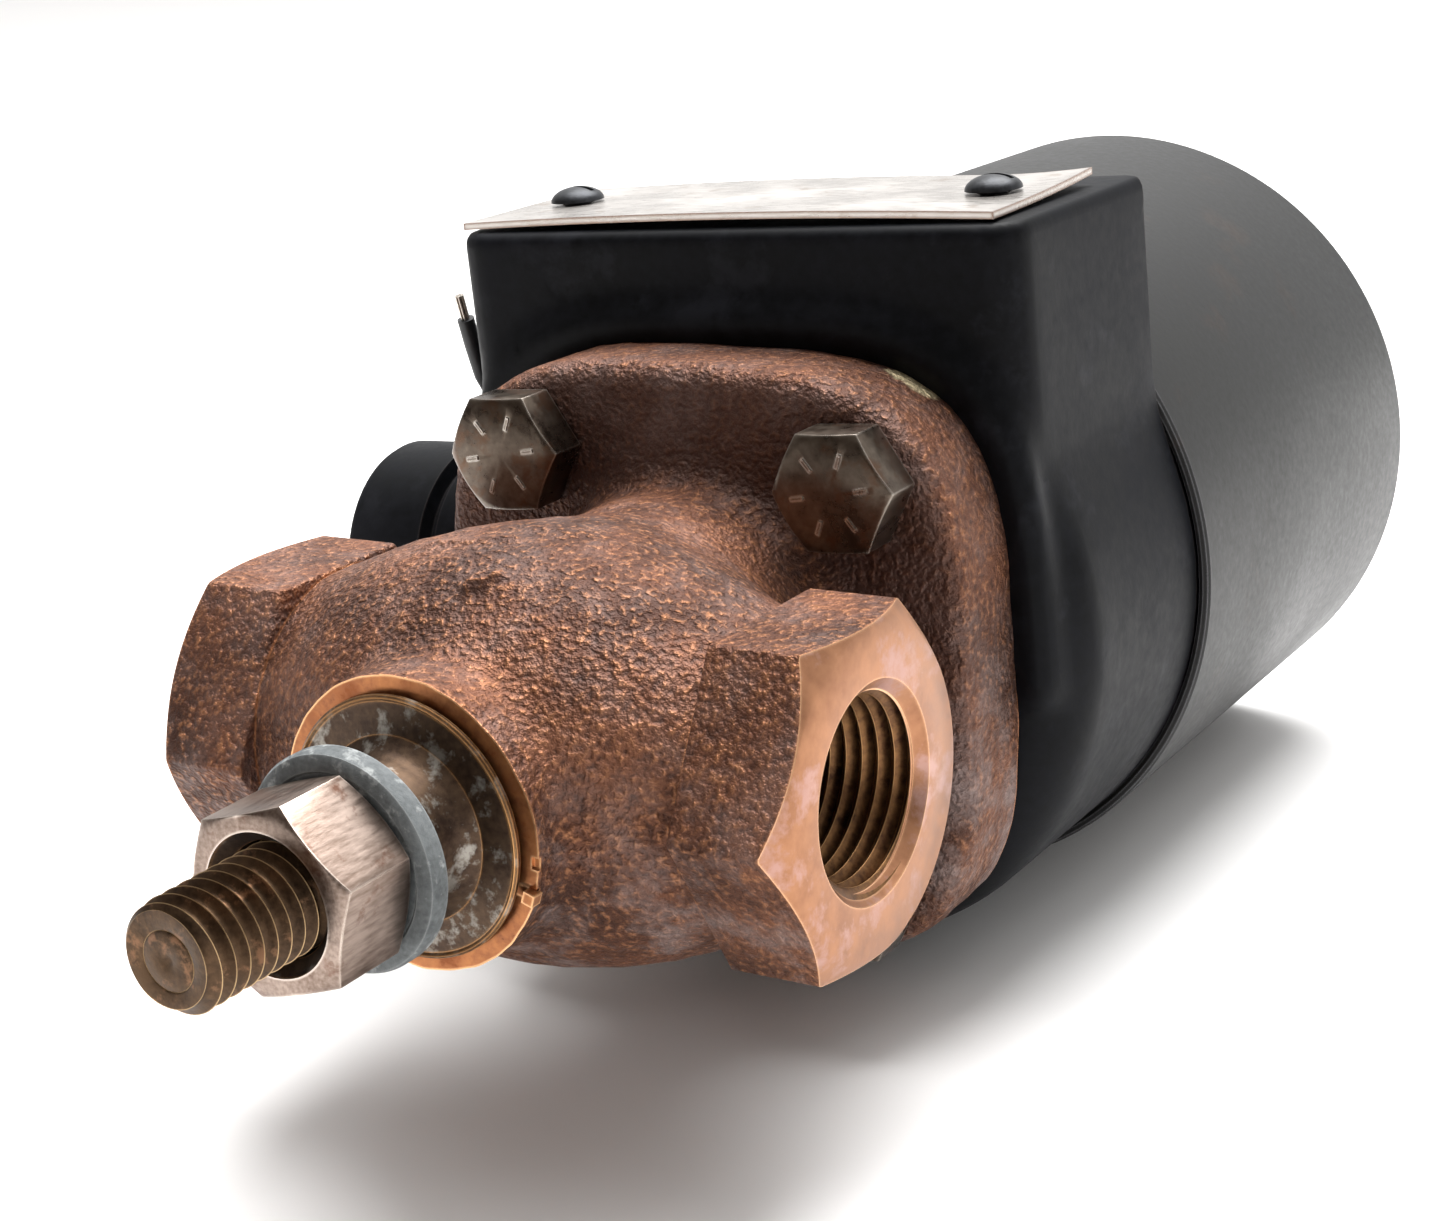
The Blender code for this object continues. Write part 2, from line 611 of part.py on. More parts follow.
def conduit_hub():
    """The threaded conduit socket, seated on the round side of the housing."""
    socket = [(HUB_INNER_RADIUS, -34.0), (HUB_INNER_RADIUS, HUB_SHOULDER + 0.4),
              (HUB_INNER_RADIUS - 0.4, HUB_SHOULDER), (HUB_RADIUS, HUB_SHOULDER - 0.8),
              (HUB_RADIUS, HUB_MOUTH + 1.0), (HUB_RADIUS - 1.0, HUB_MOUTH), (HUB_BORE, HUB_MOUTH),
              (HUB_BORE, -34.0)]
    hub = lay_along_x(turned("conduit_hub", socket, BLACK_PAINT))
    move(hub, 0, -HUB_LIFT, HUB_Z)
    cut(hub, bore("hub_seat", BASE_RADIUS + GAP, BASE_FRONT - 5, BASE_BACK + 5, 32))


def nameplate():
    middle, half = sum(PLATE_X) / 2, (PLATE_X[1] - PLATE_X[0]) / 2
    steps = 14
    lower, upper = [], []
    for step in range(steps + 1):
        x = PLATE_X[0] + (PLATE_X[1] - PLATE_X[0]) * step / steps
        y = -BLOCK_TOP - GAP - PLATE_BOW * (1 - ((x - middle) / half) ** 2)
        lower.append((x, y))
        upper.append((x, y - PLATE_THICKNESS))
    plate = extruded("nameplate", [*lower, *reversed(upper)], *PLATE_Z, ALUMINIUM)
    for number, x in enumerate((-PLATE_SCREW_X, PLATE_SCREW_X), 1):
        cut(plate, face_nameplate(bore(f"plate_hole_{number}", 1.9, 45.0, 52.0, 12), x))


def nameplate_screws():
    """Two domed drive screws through the plate into the housing."""
    seat = BLOCK_TOP + PLATE_BOW + PLATE_THICKNESS + GAP
    dome = [(3.25 * math.cos(math.radians(angle)), seat + 1.7 * math.sin(math.radians(angle)))
            for angle in (90, 60, 30, 0)]
    profile = [(0.0, dome[0][1]), *dome[1:], (1.6, seat), (1.6, 42.5), (0.0, 42.5)]
    for number, x in enumerate((-PLATE_SCREW_X, PLATE_SCREW_X), 1):
        face_nameplate(turned(f"nameplate_screw_{number}", profile, STEEL, steps=16), x)


# --- Leads --------------------------------------------------------------------

# Each lead leaves the coil space through the hub, turns back past the can and comes forward
# again over the hub. The first one's stripped end stands up beside the housing.
LEAD_ROUTES = {
    "lead_wire_1": [(-33, -1.5, 54), (-45, -1, 54), (-56, -0.5, 54.5), (-62.5, -1, 57.5),
                    (-65, -2.2, 64), (-64.3, -2.6, 71), (-62, -3, 78), (-60.5, -4.5, 85),
                    (-58.5, -9, 93), (-56, -15, 100), (-52, -20.5, 104), (-48, -23, 101),
                    (-46.3, -22, 94), (-45.4, -19, 86), (-45, -16.6, 77), (-44.8, -16.2, 69),
                    (-44.8, -17.6, 61), (-45, -20.8, 55.5), (-45, -25.5, 52.4),
                    (-45, -33, 50.1)],
    "lead_wire_2": [(-33, 3.5, 54), (-45, 4, 54), (-56, 4.2, 54.5), (-62, 3.6, 57.5),
                    (-64.6, 2.4, 64), (-64, 1.5, 72), (-62, 0.8, 80), (-60, -0.8, 89),
                    (-57.5, -4, 98), (-55, -9, 106), (-51.5, -14, 111), (-48, -17, 110),
                    (-46, -17, 103), (-45.2, -14.8, 94), (-45, -12.6, 86), (-45, -11.9, 77)],
}


def smooth(route, spacing=4.2):
    """Points along a Catmull-Rom curve through the route."""
    ends = [route[0], *route, route[-1]]
    points = []
    for before, first, last, after in zip(ends, ends[1:], ends[2:], ends[3:]):
        count = max(1, round(math.dist(first, last) / spacing))
        for step in range(count):
            t = step / count
            points.append([0.5 * (2 * b + (c - a) * t + (2 * a - 5 * b + 4 * c - d) * t ** 2
                                  + (3 * b - a - 3 * c + d) * t ** 3)
                           for a, b, c, d in zip(before, first, last, after)])
    return [*points, list(route[-1])]


def tube(name, points, radius, finish):
    curve = bpy.data.curves.new(name, "CURVE")
    curve.dimensions = "3D"
    curve.bevel_depth = radius * MM
    curve.bevel_resolution = 2
    curve.use_fill_caps = True
    spline = curve.splines.new("POLY")
    spline.points.add(len(points) - 1)
    for point, place in zip(spline.points, points):
        point.co = (*[value * MM for value in place], 1)
    from_curve(name, curve, (0, 0, 0), finish)


def lead_wires():
    for name, route in LEAD_ROUTES.items():
        points = smooth(route)
        tube(name, points, LEAD_RADIUS, INSULATION)
        step = math.dist(points[-2], points[-1])
        along = [(b - a) / step for a, b in zip(points[-2], points[-1])]
        bare = [[end + way * reach for end, way in zip(points[-1], along)]
                for reach in (GAP, GAP + LEAD_BARE)]
        tube(name.replace("wire", "core"), bare, LEAD_CORE_RADIUS, TINNED)


# --- Assembly -----------------------------------------------------------------

def empty(name, parent=None):
    made = bpy.data.objects.new(name, None)
    PARTS.objects.link(made)
    made.parent = parent
    return made


def hold(holder, *makers):
    """Run the makers and parent all that they made to the holder."""
    before = set(bpy.data.objects)
    for maker in makers:
        maker()
    for made in bpy.data.objects:
        if made not in before:
            made.parent = holder


def drill_housing():
    """Bolt holes through the housing's front wall, in line with the flange's."""
    base = bpy.data.objects["housing_base"]
    for number, (x, y) in enumerate(bolt_places(), 1):
        hole = bore(f"housing_hole_{number}", BOLT_SHANK_RADIUS + GAP, 38.0, 48.0, 12)
        cut(base, move(hole, x, y))


laid = empty("laid_on_its_back")
laid.location = [value * MM for value in AXES_CROSS]
laid.rotation_euler = (math.radians(-90), 0, 0)
housing = empty("housing_turn", laid)
housing.rotation_euler = (0, 0, math.radians(-HOUSING_TURN))
stem_holder = empty("stem_axis", laid)
plunger_holder = empty("plunger_axis", laid)

hold(laid, valve_body, flange_bolts, bottom_bushing, stem_packing, sealing_washer, lock_nut,
     seat_ring, core_tube, core_stop, shading_ring, body_gasket, bonnet, coil_parts, coil_can,
     end_fasteners, lead_wires, plunger_spring)
hold(stem_holder, manual_stem, push_tip)
hold(plunger_holder, seat_disc, disc_screw, disc_holder, plunger)
hold(housing, housing_base, conduit_hub, nameplate, nameplate_screws)
hold(laid, drill_housing)
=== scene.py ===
"""Solenoid valve lying on its coil can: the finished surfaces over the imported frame.

Pieces are drawn upright in millimetres, with x along the ports, z along the valve axis
(stem at -z, coil at +z) and the nameplate facing -y. settle() then lays each one into the
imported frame, in metres.
"""

import json
import math

import bmesh
import bpy
import numpy as np
import openvdb
from mathutils import Matrix, Vector


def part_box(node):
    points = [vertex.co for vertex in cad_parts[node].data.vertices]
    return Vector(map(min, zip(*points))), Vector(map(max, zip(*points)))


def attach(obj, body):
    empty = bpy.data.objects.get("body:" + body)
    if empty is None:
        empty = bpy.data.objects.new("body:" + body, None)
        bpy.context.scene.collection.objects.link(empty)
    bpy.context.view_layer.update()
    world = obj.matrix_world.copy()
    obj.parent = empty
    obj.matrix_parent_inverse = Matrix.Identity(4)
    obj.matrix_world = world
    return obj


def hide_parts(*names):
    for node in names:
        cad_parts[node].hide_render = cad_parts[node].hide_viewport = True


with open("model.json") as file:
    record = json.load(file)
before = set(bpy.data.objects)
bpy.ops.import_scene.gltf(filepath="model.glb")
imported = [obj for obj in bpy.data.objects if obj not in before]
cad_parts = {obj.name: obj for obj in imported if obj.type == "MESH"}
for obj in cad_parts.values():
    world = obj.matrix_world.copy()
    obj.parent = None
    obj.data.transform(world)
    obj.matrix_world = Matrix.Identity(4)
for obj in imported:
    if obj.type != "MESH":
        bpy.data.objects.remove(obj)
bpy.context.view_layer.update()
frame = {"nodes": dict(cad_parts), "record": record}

MM = 0.001
FLANGE_TOP = 40.0
can_low, can_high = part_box("coil_can")
body_low, body_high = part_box("valve_body")
CROSS = Vector(((can_low[0] + can_high[0]) / 2, body_high[1] - FLANGE_TOP * MM,
        (can_low[2] + can_high[2]) / 2))  # where valve axis and port axis cross
LAY_DOWN = Matrix(((MM, 0, 0, CROSS.x), (0, 0, MM, CROSS.y), (0, -MM, 0, CROSS.z), (0, 0, 0, 1)))

# Body casting
PORT_FACE, PORT_FACE_RADIUS = 38.1, 16.5
PORT_CHAMFER_WIDTH, PORT_CHAMFER_DEPTH = 3.0, 2.0
PORT_ROOT, PORT_CREST, PORT_THREAD_END, PORT_TAPER = 9.55, 10.75, 17.0, 1 / 32
PORT_MOUTH_RADIUS, PORT_MOUTH_INNER, PORT_MOUTH_DEPTH = 12.2, 10.0, 1.2
HEX_FLATS, HEX_INNER_END, HEX_NECK_RADIUS, HEX_FILLET = 33.5, 26.2, 15.8, 3.0
GLOBE_RADIUS, GLOBE_HALF_LENGTH, GLOBE_END = 22.6, 36.0, 29.0
NECK_RADIUS, NECK_START, NECK_END, NECK_FILLET = 20.5, 4.0, 34.0, 5.0
FLANGE_HALF, FLANGE_POWER, FLANGE_BOTTOM = 34.0, 3.5, 28.0
FLANGE_EDGE, FLANGE_FILLET = 3.0, 4.0
BOSS_RADIUS, BOSS_FACE, BOSS_INNER_END, BOSS_FILLET = 15.2, -24.0, -8.0, 2.2
FACING_STOCK = 1.5  # cast metal past each face, cut away on the lathe
RIDGE_FILLET, PIT_FILLET = 0.7, 0.8
CAST_WAVES = ((0.5, 0.61, 0.43), (0.93, 0.71, 1.07), (1.5, 1.7, 1.3))  # radians a millimetre
CAST_WAVE_HEIGHT = 0.07
INLET_PASSAGE = (8.5, -19.0, 8.0)  # radius and ends along x
OUTLET_PASSAGE, OUTLET_TILT, OUTLET_X = (5.0, -1.0, 18.0), -26.6, 20.0
BODY_BORES = (("upper_chamber", 17.0, 12.0, 42.0, 96),  # radius, bottom, top, steps round
        ("gasket_recess", 24.3, 38.5, 42.0, 96),
        ("seat_hole", 8.5, 4.0, 13.0, 48),
        ("bushing_hole", 10.3, -25.0, -13.0, 48),
        ("stem_hole", 6.5, -14.0, -4.0, 48))
BOLT_HOLE_RADIUS = 4.2
CAST_RIDGES = (((-0.6, -20.3, -11.0), (2.0, -21.1, -9.0), 0.55),  # start, end, radius
        ((-11.0, -21.3, -3.2), (-1.0, -22.5, -2.2), 0.5))
CAST_PIT = ((-2.6, -20.0, -12.6), (-1.8, -20.4, -11.9), 0.8)
LIP_NOTCHES, NOTCH_HALF, NOTCH_DEPTH = (-4, 7, 20, 50), 0.9, 0.35  # degrees round the boss face
CAST_STEP = 0.52  # grid of the casting
SHELL_STEP = 0.7  # grid of the housing
ADAPTIVITY = 0.004  # how far flat parts of a grid surface are simplified
THREAD_PITCH = 25.4 / 14  # pipe thread and stem thread alike
THREAD_STEPS, THREAD_ROWS = 64, 12  # points round a turn, and rows along one pitch

# Bottom stem
STEM_RADIUS, STEM_TIP, STEM_INNER_END = 5.5, -57.8, -6.0
STEM_THREAD_DEPTH, STEM_CREST_POWER = 1.1, 2.2
TIP_SOCKET_RADIUS, TIP_SOCKET_DEPTH = 2.3, 8.0
BUSHING_RADIUS, COLLAR_RADIUS, BUSHING_NECK, BUSHING_BORE = 10.0, 13.5, 8.0, 5.8
BUSHING_INNER_END, PACKING_RADIUS, PACKING_END = -13.3, 7.6, -27.0
NUT_FLATS, NUT_FACE, NUT_BACK, NUT_TURN = 17.46, -45.0, -35.3, -15.5
NUT_CROWN, NUT_RIM, NUT_BORE, NUT_COUNTERSINK = 8.7, 10.9, 5.75, 7.1
WASHER_RADIUS, WASHER_FACE, WASHER_BACK = 11.15, -35.0, -31.9
WASHER_EDGE, WASHER_RECESS, WASHER_HOLE = 0.8, 9.3, 5.8

# Bolts
BOLT_SPACING, BOLT_PATTERN_TURN = (21.1, 23.35), -1.8
BOLT_FLATS, BOLT_HEIGHT, BOLT_SEAT, BOLT_END, BOLT_TURN = 12.7, 5.5, 27.7, 51.5, -3.5
BOLT_CROWN, BOLT_RIM, BOLT_CHAMFER, SHANK_RADIUS = 6.0, 8.5, 1.35, 3.9
MARKS, MARK_PLACE, MARK_TURN, MARK_HEIGHT = 6, 3.9, 20, 0.18
MARK_SHAPE = (0.28, 1.1, 1.0, 1.0)  # scale across and along a mark

# Housing
HOUSING_TURN = 2.3
BASE_FRONT, BASE_BACK, BASE_RADIUS, BASE_ROUND, BASE_WALL = 40.3, 75.0, 41.0, 8.0, 3.0
BLOCK_HALF, BLOCK_TOP, BLOCK_ROUND, BLOCK_EDGE = 37.0, 46.7, 5.0, 1.6
SHELL_END, BLOCK_BLEND = 77.0, 2.5
PAINT_GAP, PAINT_LIFT, PAINT_RADIUS, PAINT_BLEND, PAINT_END = 2.4, 0.6, 1.7, 3.0, 6.0
CAVITY_ROUND = ((38.0, 48.3), (36.5, 44.8), (33.0, 43.3))  # radius and height inside the bowl
SPIGOT_RADIUS, SPIGOT_START, SPIGOT_END = 40.4, 74.0, 80.0
FRONT_HOLE_RADIUS = 24.5
CAN_RADIUS, CAN_WALL, CAN_FRONT, CAN_TOP = 42.5, 1.5, 75.3, 150.0
STUD_HOLE, STUD_RADIUS, STUD_NUT_HEIGHT = 4.3, 4.2, 6.8
STUD_WASHER_RADIUS, STUD_WASHER_THICKNESS = 9.0, 1.5
HUB_LIFT, HUB_Z, HUB_MOUTH, HUB_SHOULDER = 3.0, 54.0, -60.0, -47.0
HUB_RADIUS, HUB_INNER_RADIUS, HUB_BORE, HUB_ROOT = 14.5, 13.5, 10.5, -34.0
PLATE_X, PLATE_Z, PLATE_THICKNESS, PLATE_BOW = (-36.0, 34.0), (42.3, 68.0), 0.8, 0.6
PLATE_CURL, PLATE_CURL_START = 0.9, 0.8  # height, and share of the length it starts at
PLATE_COLUMNS, PLATE_ROWS = 40, 14
SCREW_X, SCREW_Z, SCREW_HOLE = 28.0, 55.0, 1.9
SCREW_RADIUS, SCREW_DOME, SCREW_SHANK, SCREW_END = 3.25, 1.7, 1.6, 42.5
GAP = 0.3  # air between neighbouring pieces
LEAD_RADIUS, STRAND_RADIUS, LEAD_BARE = 1.1, 0.19, 3.2
STRAND_SPACING = 2.1  # strand centres, in strand radii

# Camera, in the frame's metres
CAMERA_PLACE = (0.16279, -0.25648, 0.13421)
CAMERA_FORWARD, CAMERA_RIGHT = (-0.5168, 0.8042, -0.2934), (0.8504, 0.5218, -0.0677)
LENS, SENSOR = 65.15, 36.0


# --- Camera ---

def place_object(name, data):
    made = bpy.data.objects.new(name, data)
    bpy.context.scene.collection.objects.link(made)
    return made


def make_camera():
    """A close three-quarter view from below the stem, a little above the floor."""
    forward = Vector(CAMERA_FORWARD).normalized()
    right = Vector(CAMERA_RIGHT).normalized()
    up = right.cross(forward)
    data = bpy.data.cameras.new("camera")
    data.lens, data.sensor_width = LENS, SENSOR
    camera = place_object("camera", data)
    turn = Matrix((right, up, -forward)).transposed().to_4x4()
    camera.matrix_world = Matrix.Translation(CAMERA_PLACE) @ turn
    data.clip_start, data.clip_end = 0.01, 20.0
    bpy.context.scene.camera = camera


make_camera()


# --- Materials ---

def linear(hex_colour):
    """An sRGB hex colour as linear RGBA."""
    parts = [int(hex_colour[i:i + 2], 16) / 255 for i in (1, 3, 5)]
    return (*[c / 12.92 if c <= 0.04045 else ((c + 0.055) / 1.055) ** 2.4 for c in parts], 1.0)


def add(tree, kind, inputs=None, stops=None, **settings):
    """Add a node, set its properties, and fill its inputs with values or links."""
    made = tree.nodes.new(kind)
    for name, value in settings.items():
        setattr(made, name, value)
    for name, value in (inputs or {}).items():
        if isinstance(value, bpy.types.NodeSocket):
            tree.links.new(value, made.inputs[name])
        else:
            made.inputs[name].default_value = value
    if stops:
        elements = made.color_ramp.elements
        while len(elements) < len(stops):
            elements.new(0.5)
        for element, (place, colour) in zip(elements, stops):
            element.position = place
            element.color = linear(colour)
    return made


def new_material(name):
    """An empty material with its shader and the valve's own millimetre coordinates."""
    made = bpy.data.materials.new(name)
    made.use_nodes = True
    tree = made.node_tree
    shader = tree.nodes["Principled BSDF"]
    place = add(tree, "ShaderNodeTexCoord").outputs["Object"]
    millimetres = add(tree, "ShaderNodeMapping", {"Vector": place, "Scale": (1 / MM,) * 3,
            "Location": -CROSS / MM}).outputs["Vector"]
    return made, tree, shader, millimetres


def finished(made, shader, colour, rough, relief, metallic, sheen=0.5):
    """Join the drawn colour, roughness and relief to the material's shader."""
    for name, socket in (("Base Color", colour), ("Roughness", rough), ("Normal", relief)):
        made.node_tree.links.new(socket, shader.inputs[name])
    shader.inputs["Metallic"].default_value = metallic
    shader.inputs["Specular IOR Level"].default_value = sheen
    return made


def surface(name, dark, light, metallic, roughness, grain, bump, patch=25.0, stain=None,
            edge=None, edge_width=0.5, sheen=0.5, stretch=(1.0, 1.0, 1.0)):
    """A material of two tones mixed by its grain and by broad patches.

    grain and patch are sizes in millimetres, bump is the grain's height in millimetres,
    stain is a (colour, share) of worn or dirty patches, edge and edge_width are the colour
    and width of the edge tint, partly wear and partly painted light along sharp edges, and sheen
    is the specular level.
    """
    made, tree, shader, millimetres = new_material(name)
    drawn = add(tree, "ShaderNodeMapping", {"Vector": millimetres, "Scale": stretch}).outputs[0]
    fine = add(tree, "ShaderNodeTexNoise", {"Vector": drawn, "Scale": 1 / grain, "Detail": 4.0,
            "Roughness": 0.6}).outputs["Fac"]
    broad = add(tree, "ShaderNodeTexNoise", {"Vector": millimetres, "Scale": 1 / patch,
            "Detail": 3.0}).outputs["Fac"]
    both = add(tree, "ShaderNodeMath", {0: fine, 1: broad}, operation="ADD").outputs[0]
    tone = add(tree, "ShaderNodeMapRange", {"Value": both, "From Min": 0.75, "From Max": 1.25})
    colour = add(tree, "ShaderNodeValToRGB", {"Fac": tone.outputs[0]},
            stops=[(0.0, dark), (1.0, light)]).outputs["Color"]
    if stain:
        spot = add(tree, "ShaderNodeTexNoise", {"Vector": millimetres, "Scale": 2.5 / patch,
                "Detail": 6.0, "Roughness": 0.65}).outputs["Fac"]
        share = add(tree, "ShaderNodeMapRange", {"Value": spot, "From Min": 0.62 - stain[1] * 0.3,
                "From Max": 0.72 - stain[1] * 0.3}).outputs[0]
        colour = add(tree, "ShaderNodeMix", {0: share, 6: colour, 7: linear(stain[0])},
                data_type="RGBA").outputs[2]
    if edge:
        colour = edge_wear_and_painted_light(tree, colour, edge, edge_width)
    rough = add(tree, "ShaderNodeMapRange", {"Value": both, "From Min": 0.6, "From Max": 1.4,
            "To Min": roughness - 0.1, "To Max": min(roughness + 0.1, 1.0)}).outputs[0]
    relief = add(tree, "ShaderNodeBump", {"Height": fine, "Distance": bump * MM * 2,
            "Strength": 1.0}).outputs["Normal"]
    return finished(made, shader, colour, rough, relief, metallic, sheen)


def edge_wear_and_painted_light(tree, colour, edge, width, low=0.02, high=0.12):
    """Mix an edge colour in where the surface turns sharply within a width in mm: partly wear,
    partly painted light along the edge.

    low and high are the turns, as one minus a cosine, at which the edge colour starts and is full.
    """
    rounded = add(tree, "ShaderNodeBevel", {"Radius": width * MM}, samples=6).outputs[0]
    flat = add(tree, "ShaderNodeNewGeometry").outputs["Normal"]
    along = add(tree, "ShaderNodeVectorMath", {0: rounded, 1: flat},
            operation="DOT_PRODUCT").outputs["Value"]
    sharp = add(tree, "ShaderNodeMapRange", {"Value": along, "From Min": 1 - low,
            "From Max": 1 - high}).outputs[0]
    return add(tree, "ShaderNodeMix", {0: sharp, 6: colour, 7: linear(edge)},
            data_type="RGBA").outputs[2]


def cast_bronze():
    """Sand-cast bronze: brown tarnish over a crinkled grain whose tops are rubbed to copper."""
    made, tree, shader, millimetres = new_material("sand_cast_bronze")
    grain = add(tree, "ShaderNodeTexNoise", {"Vector": millimetres, "Scale": 1.35, "Detail": 2.5,
            "Roughness": 0.5}).outputs["Fac"]
    broad = add(tree, "ShaderNodeTexNoise", {"Vector": millimetres, "Scale": 0.07,
            "Detail": 4.0}).outputs["Fac"]
    parts = add(tree, "ShaderNodeSeparateXYZ", {0: millimetres})
    # Brown tarnish in broad tones, copper on the grain's tops and dirt in its hollows.
    tarnish = add(tree, "ShaderNodeValToRGB", {"Fac": broad},
            stops=[(0.35, "#452b20"), (0.5, "#623f2f"), (0.68, "#7b513c")]).outputs[0]
    tops = add(tree, "ShaderNodeMapRange", {"Value": grain, "From Min": 0.52,
            "From Max": 0.72, "To Max": 0.75}).outputs[0]
    hollows = add(tree, "ShaderNodeMapRange", {"Value": grain, "From Min": 0.46,
            "From Max": 0.3, "To Max": 0.7}).outputs[0]
    rubbed = add(tree, "ShaderNodeMix", {0: tops, 6: tarnish, 7: linear("#a8734f")},
            data_type="RGBA").outputs[2]
    dirty = add(tree, "ShaderNodeMix", {0: hollows, 6: rubbed, 7: linear("#3a241d")},
            data_type="RGBA").outputs[2]
    # Painted shade: the flange's faces that look towards the stem, behind the globe, are painted
    # darker than the globe, as if in shade.
    front = add(tree, "ShaderNodeMapRange", {"Value": parts.outputs["Y"], "From Min": 19.0,
            "From Max": 27.5, "To Max": 0.75}).outputs[0]
    facing = add(tree, "ShaderNodeNewGeometry").outputs["Normal"]
    painted_shade_side = add(tree, "ShaderNodeSeparateXYZ", {0: facing}).outputs["Y"]
    flat = add(tree, "ShaderNodeMapRange", {"Value": painted_shade_side, "From Min": -0.55,
            "From Max": -0.95, "To Min": 0.25, "To Max": 1.0}).outputs[0]
    back = add(tree, "ShaderNodeMath", {0: front, 1: flat}, operation="MULTIPLY").outputs[0]
    flange = add(tree, "ShaderNodeMix", {0: back, 6: dirty, 7: linear("#543d35")},
            data_type="RGBA").outputs[2]
    # Grey lime haze, mostly on the lower side.
    lower = add(tree, "ShaderNodeMapRange", {"Value": parts.outputs["Z"], "From Min": 4.0,
            "From Max": -12.0, "To Min": 0.25, "To Max": 0.75}).outputs[0]
    cloud = add(tree, "ShaderNodeTexNoise", {"Vector": millimetres, "Scale": 0.16, "Detail": 8.0,
            "Roughness": 0.7}).outputs["Fac"]
    patchy = add(tree, "ShaderNodeMapRange", {"Value": cloud, "From Min": 0.45,
            "From Max": 0.65}).outputs[0]
    haze = add(tree, "ShaderNodeMath", {0: lower, 1: patchy}, operation="MULTIPLY").outputs[0]
    hazy = add(tree, "ShaderNodeMix", {0: haze, 6: flange, 7: linear("#8a7a76")},
            data_type="RGBA").outputs[2]
    # A smear of dried pipe compound on the flange corner.
    near = add(tree, "ShaderNodeVectorMath", {0: millimetres,
            1: (24.0, 39.2, 31.6)}, operation="SUBTRACT").outputs["Vector"]
    squeezed = add(tree, "ShaderNodeVectorMath", {0: near, 1: (0.3, 0.75, 0.6)},
            operation="MULTIPLY").outputs["Vector"]
    reach = add(tree, "ShaderNodeVectorMath", {0: squeezed}, operation="LENGTH").outputs["Value"]
    frayed = add(tree, "ShaderNodeMath", {0: reach, 1: patchy}, operation="ADD").outputs[0]
    smear = add(tree, "ShaderNodeMapRange", {"Value": frayed, "From Min": 1.7,
            "From Max": 1.3}).outputs[0]
    smeared = add(tree, "ShaderNodeMix", {0: smear, 6: hazy, 7: linear("#c4b593")},
            data_type="RGBA").outputs[2]
    # Edges tinted copper, partly rubbed bare and partly a painted highlight, and the grain's
    # relief.
    colour = edge_wear_and_painted_light(tree, smeared, "#c88c63", 0.6, 0.04, 0.2)
    relief = add(tree, "ShaderNodeBump", {"Height": grain, "Distance": 0.75 * MM,
            "Strength": 1.0}).outputs["Normal"]
    rough = add(tree, "ShaderNodeMapRange", {"Value": tops, "To Min": 0.62,
            "To Max": 0.42}).outputs[0]
    return finished(made, shader, colour, rough, relief, metallic=0.7)
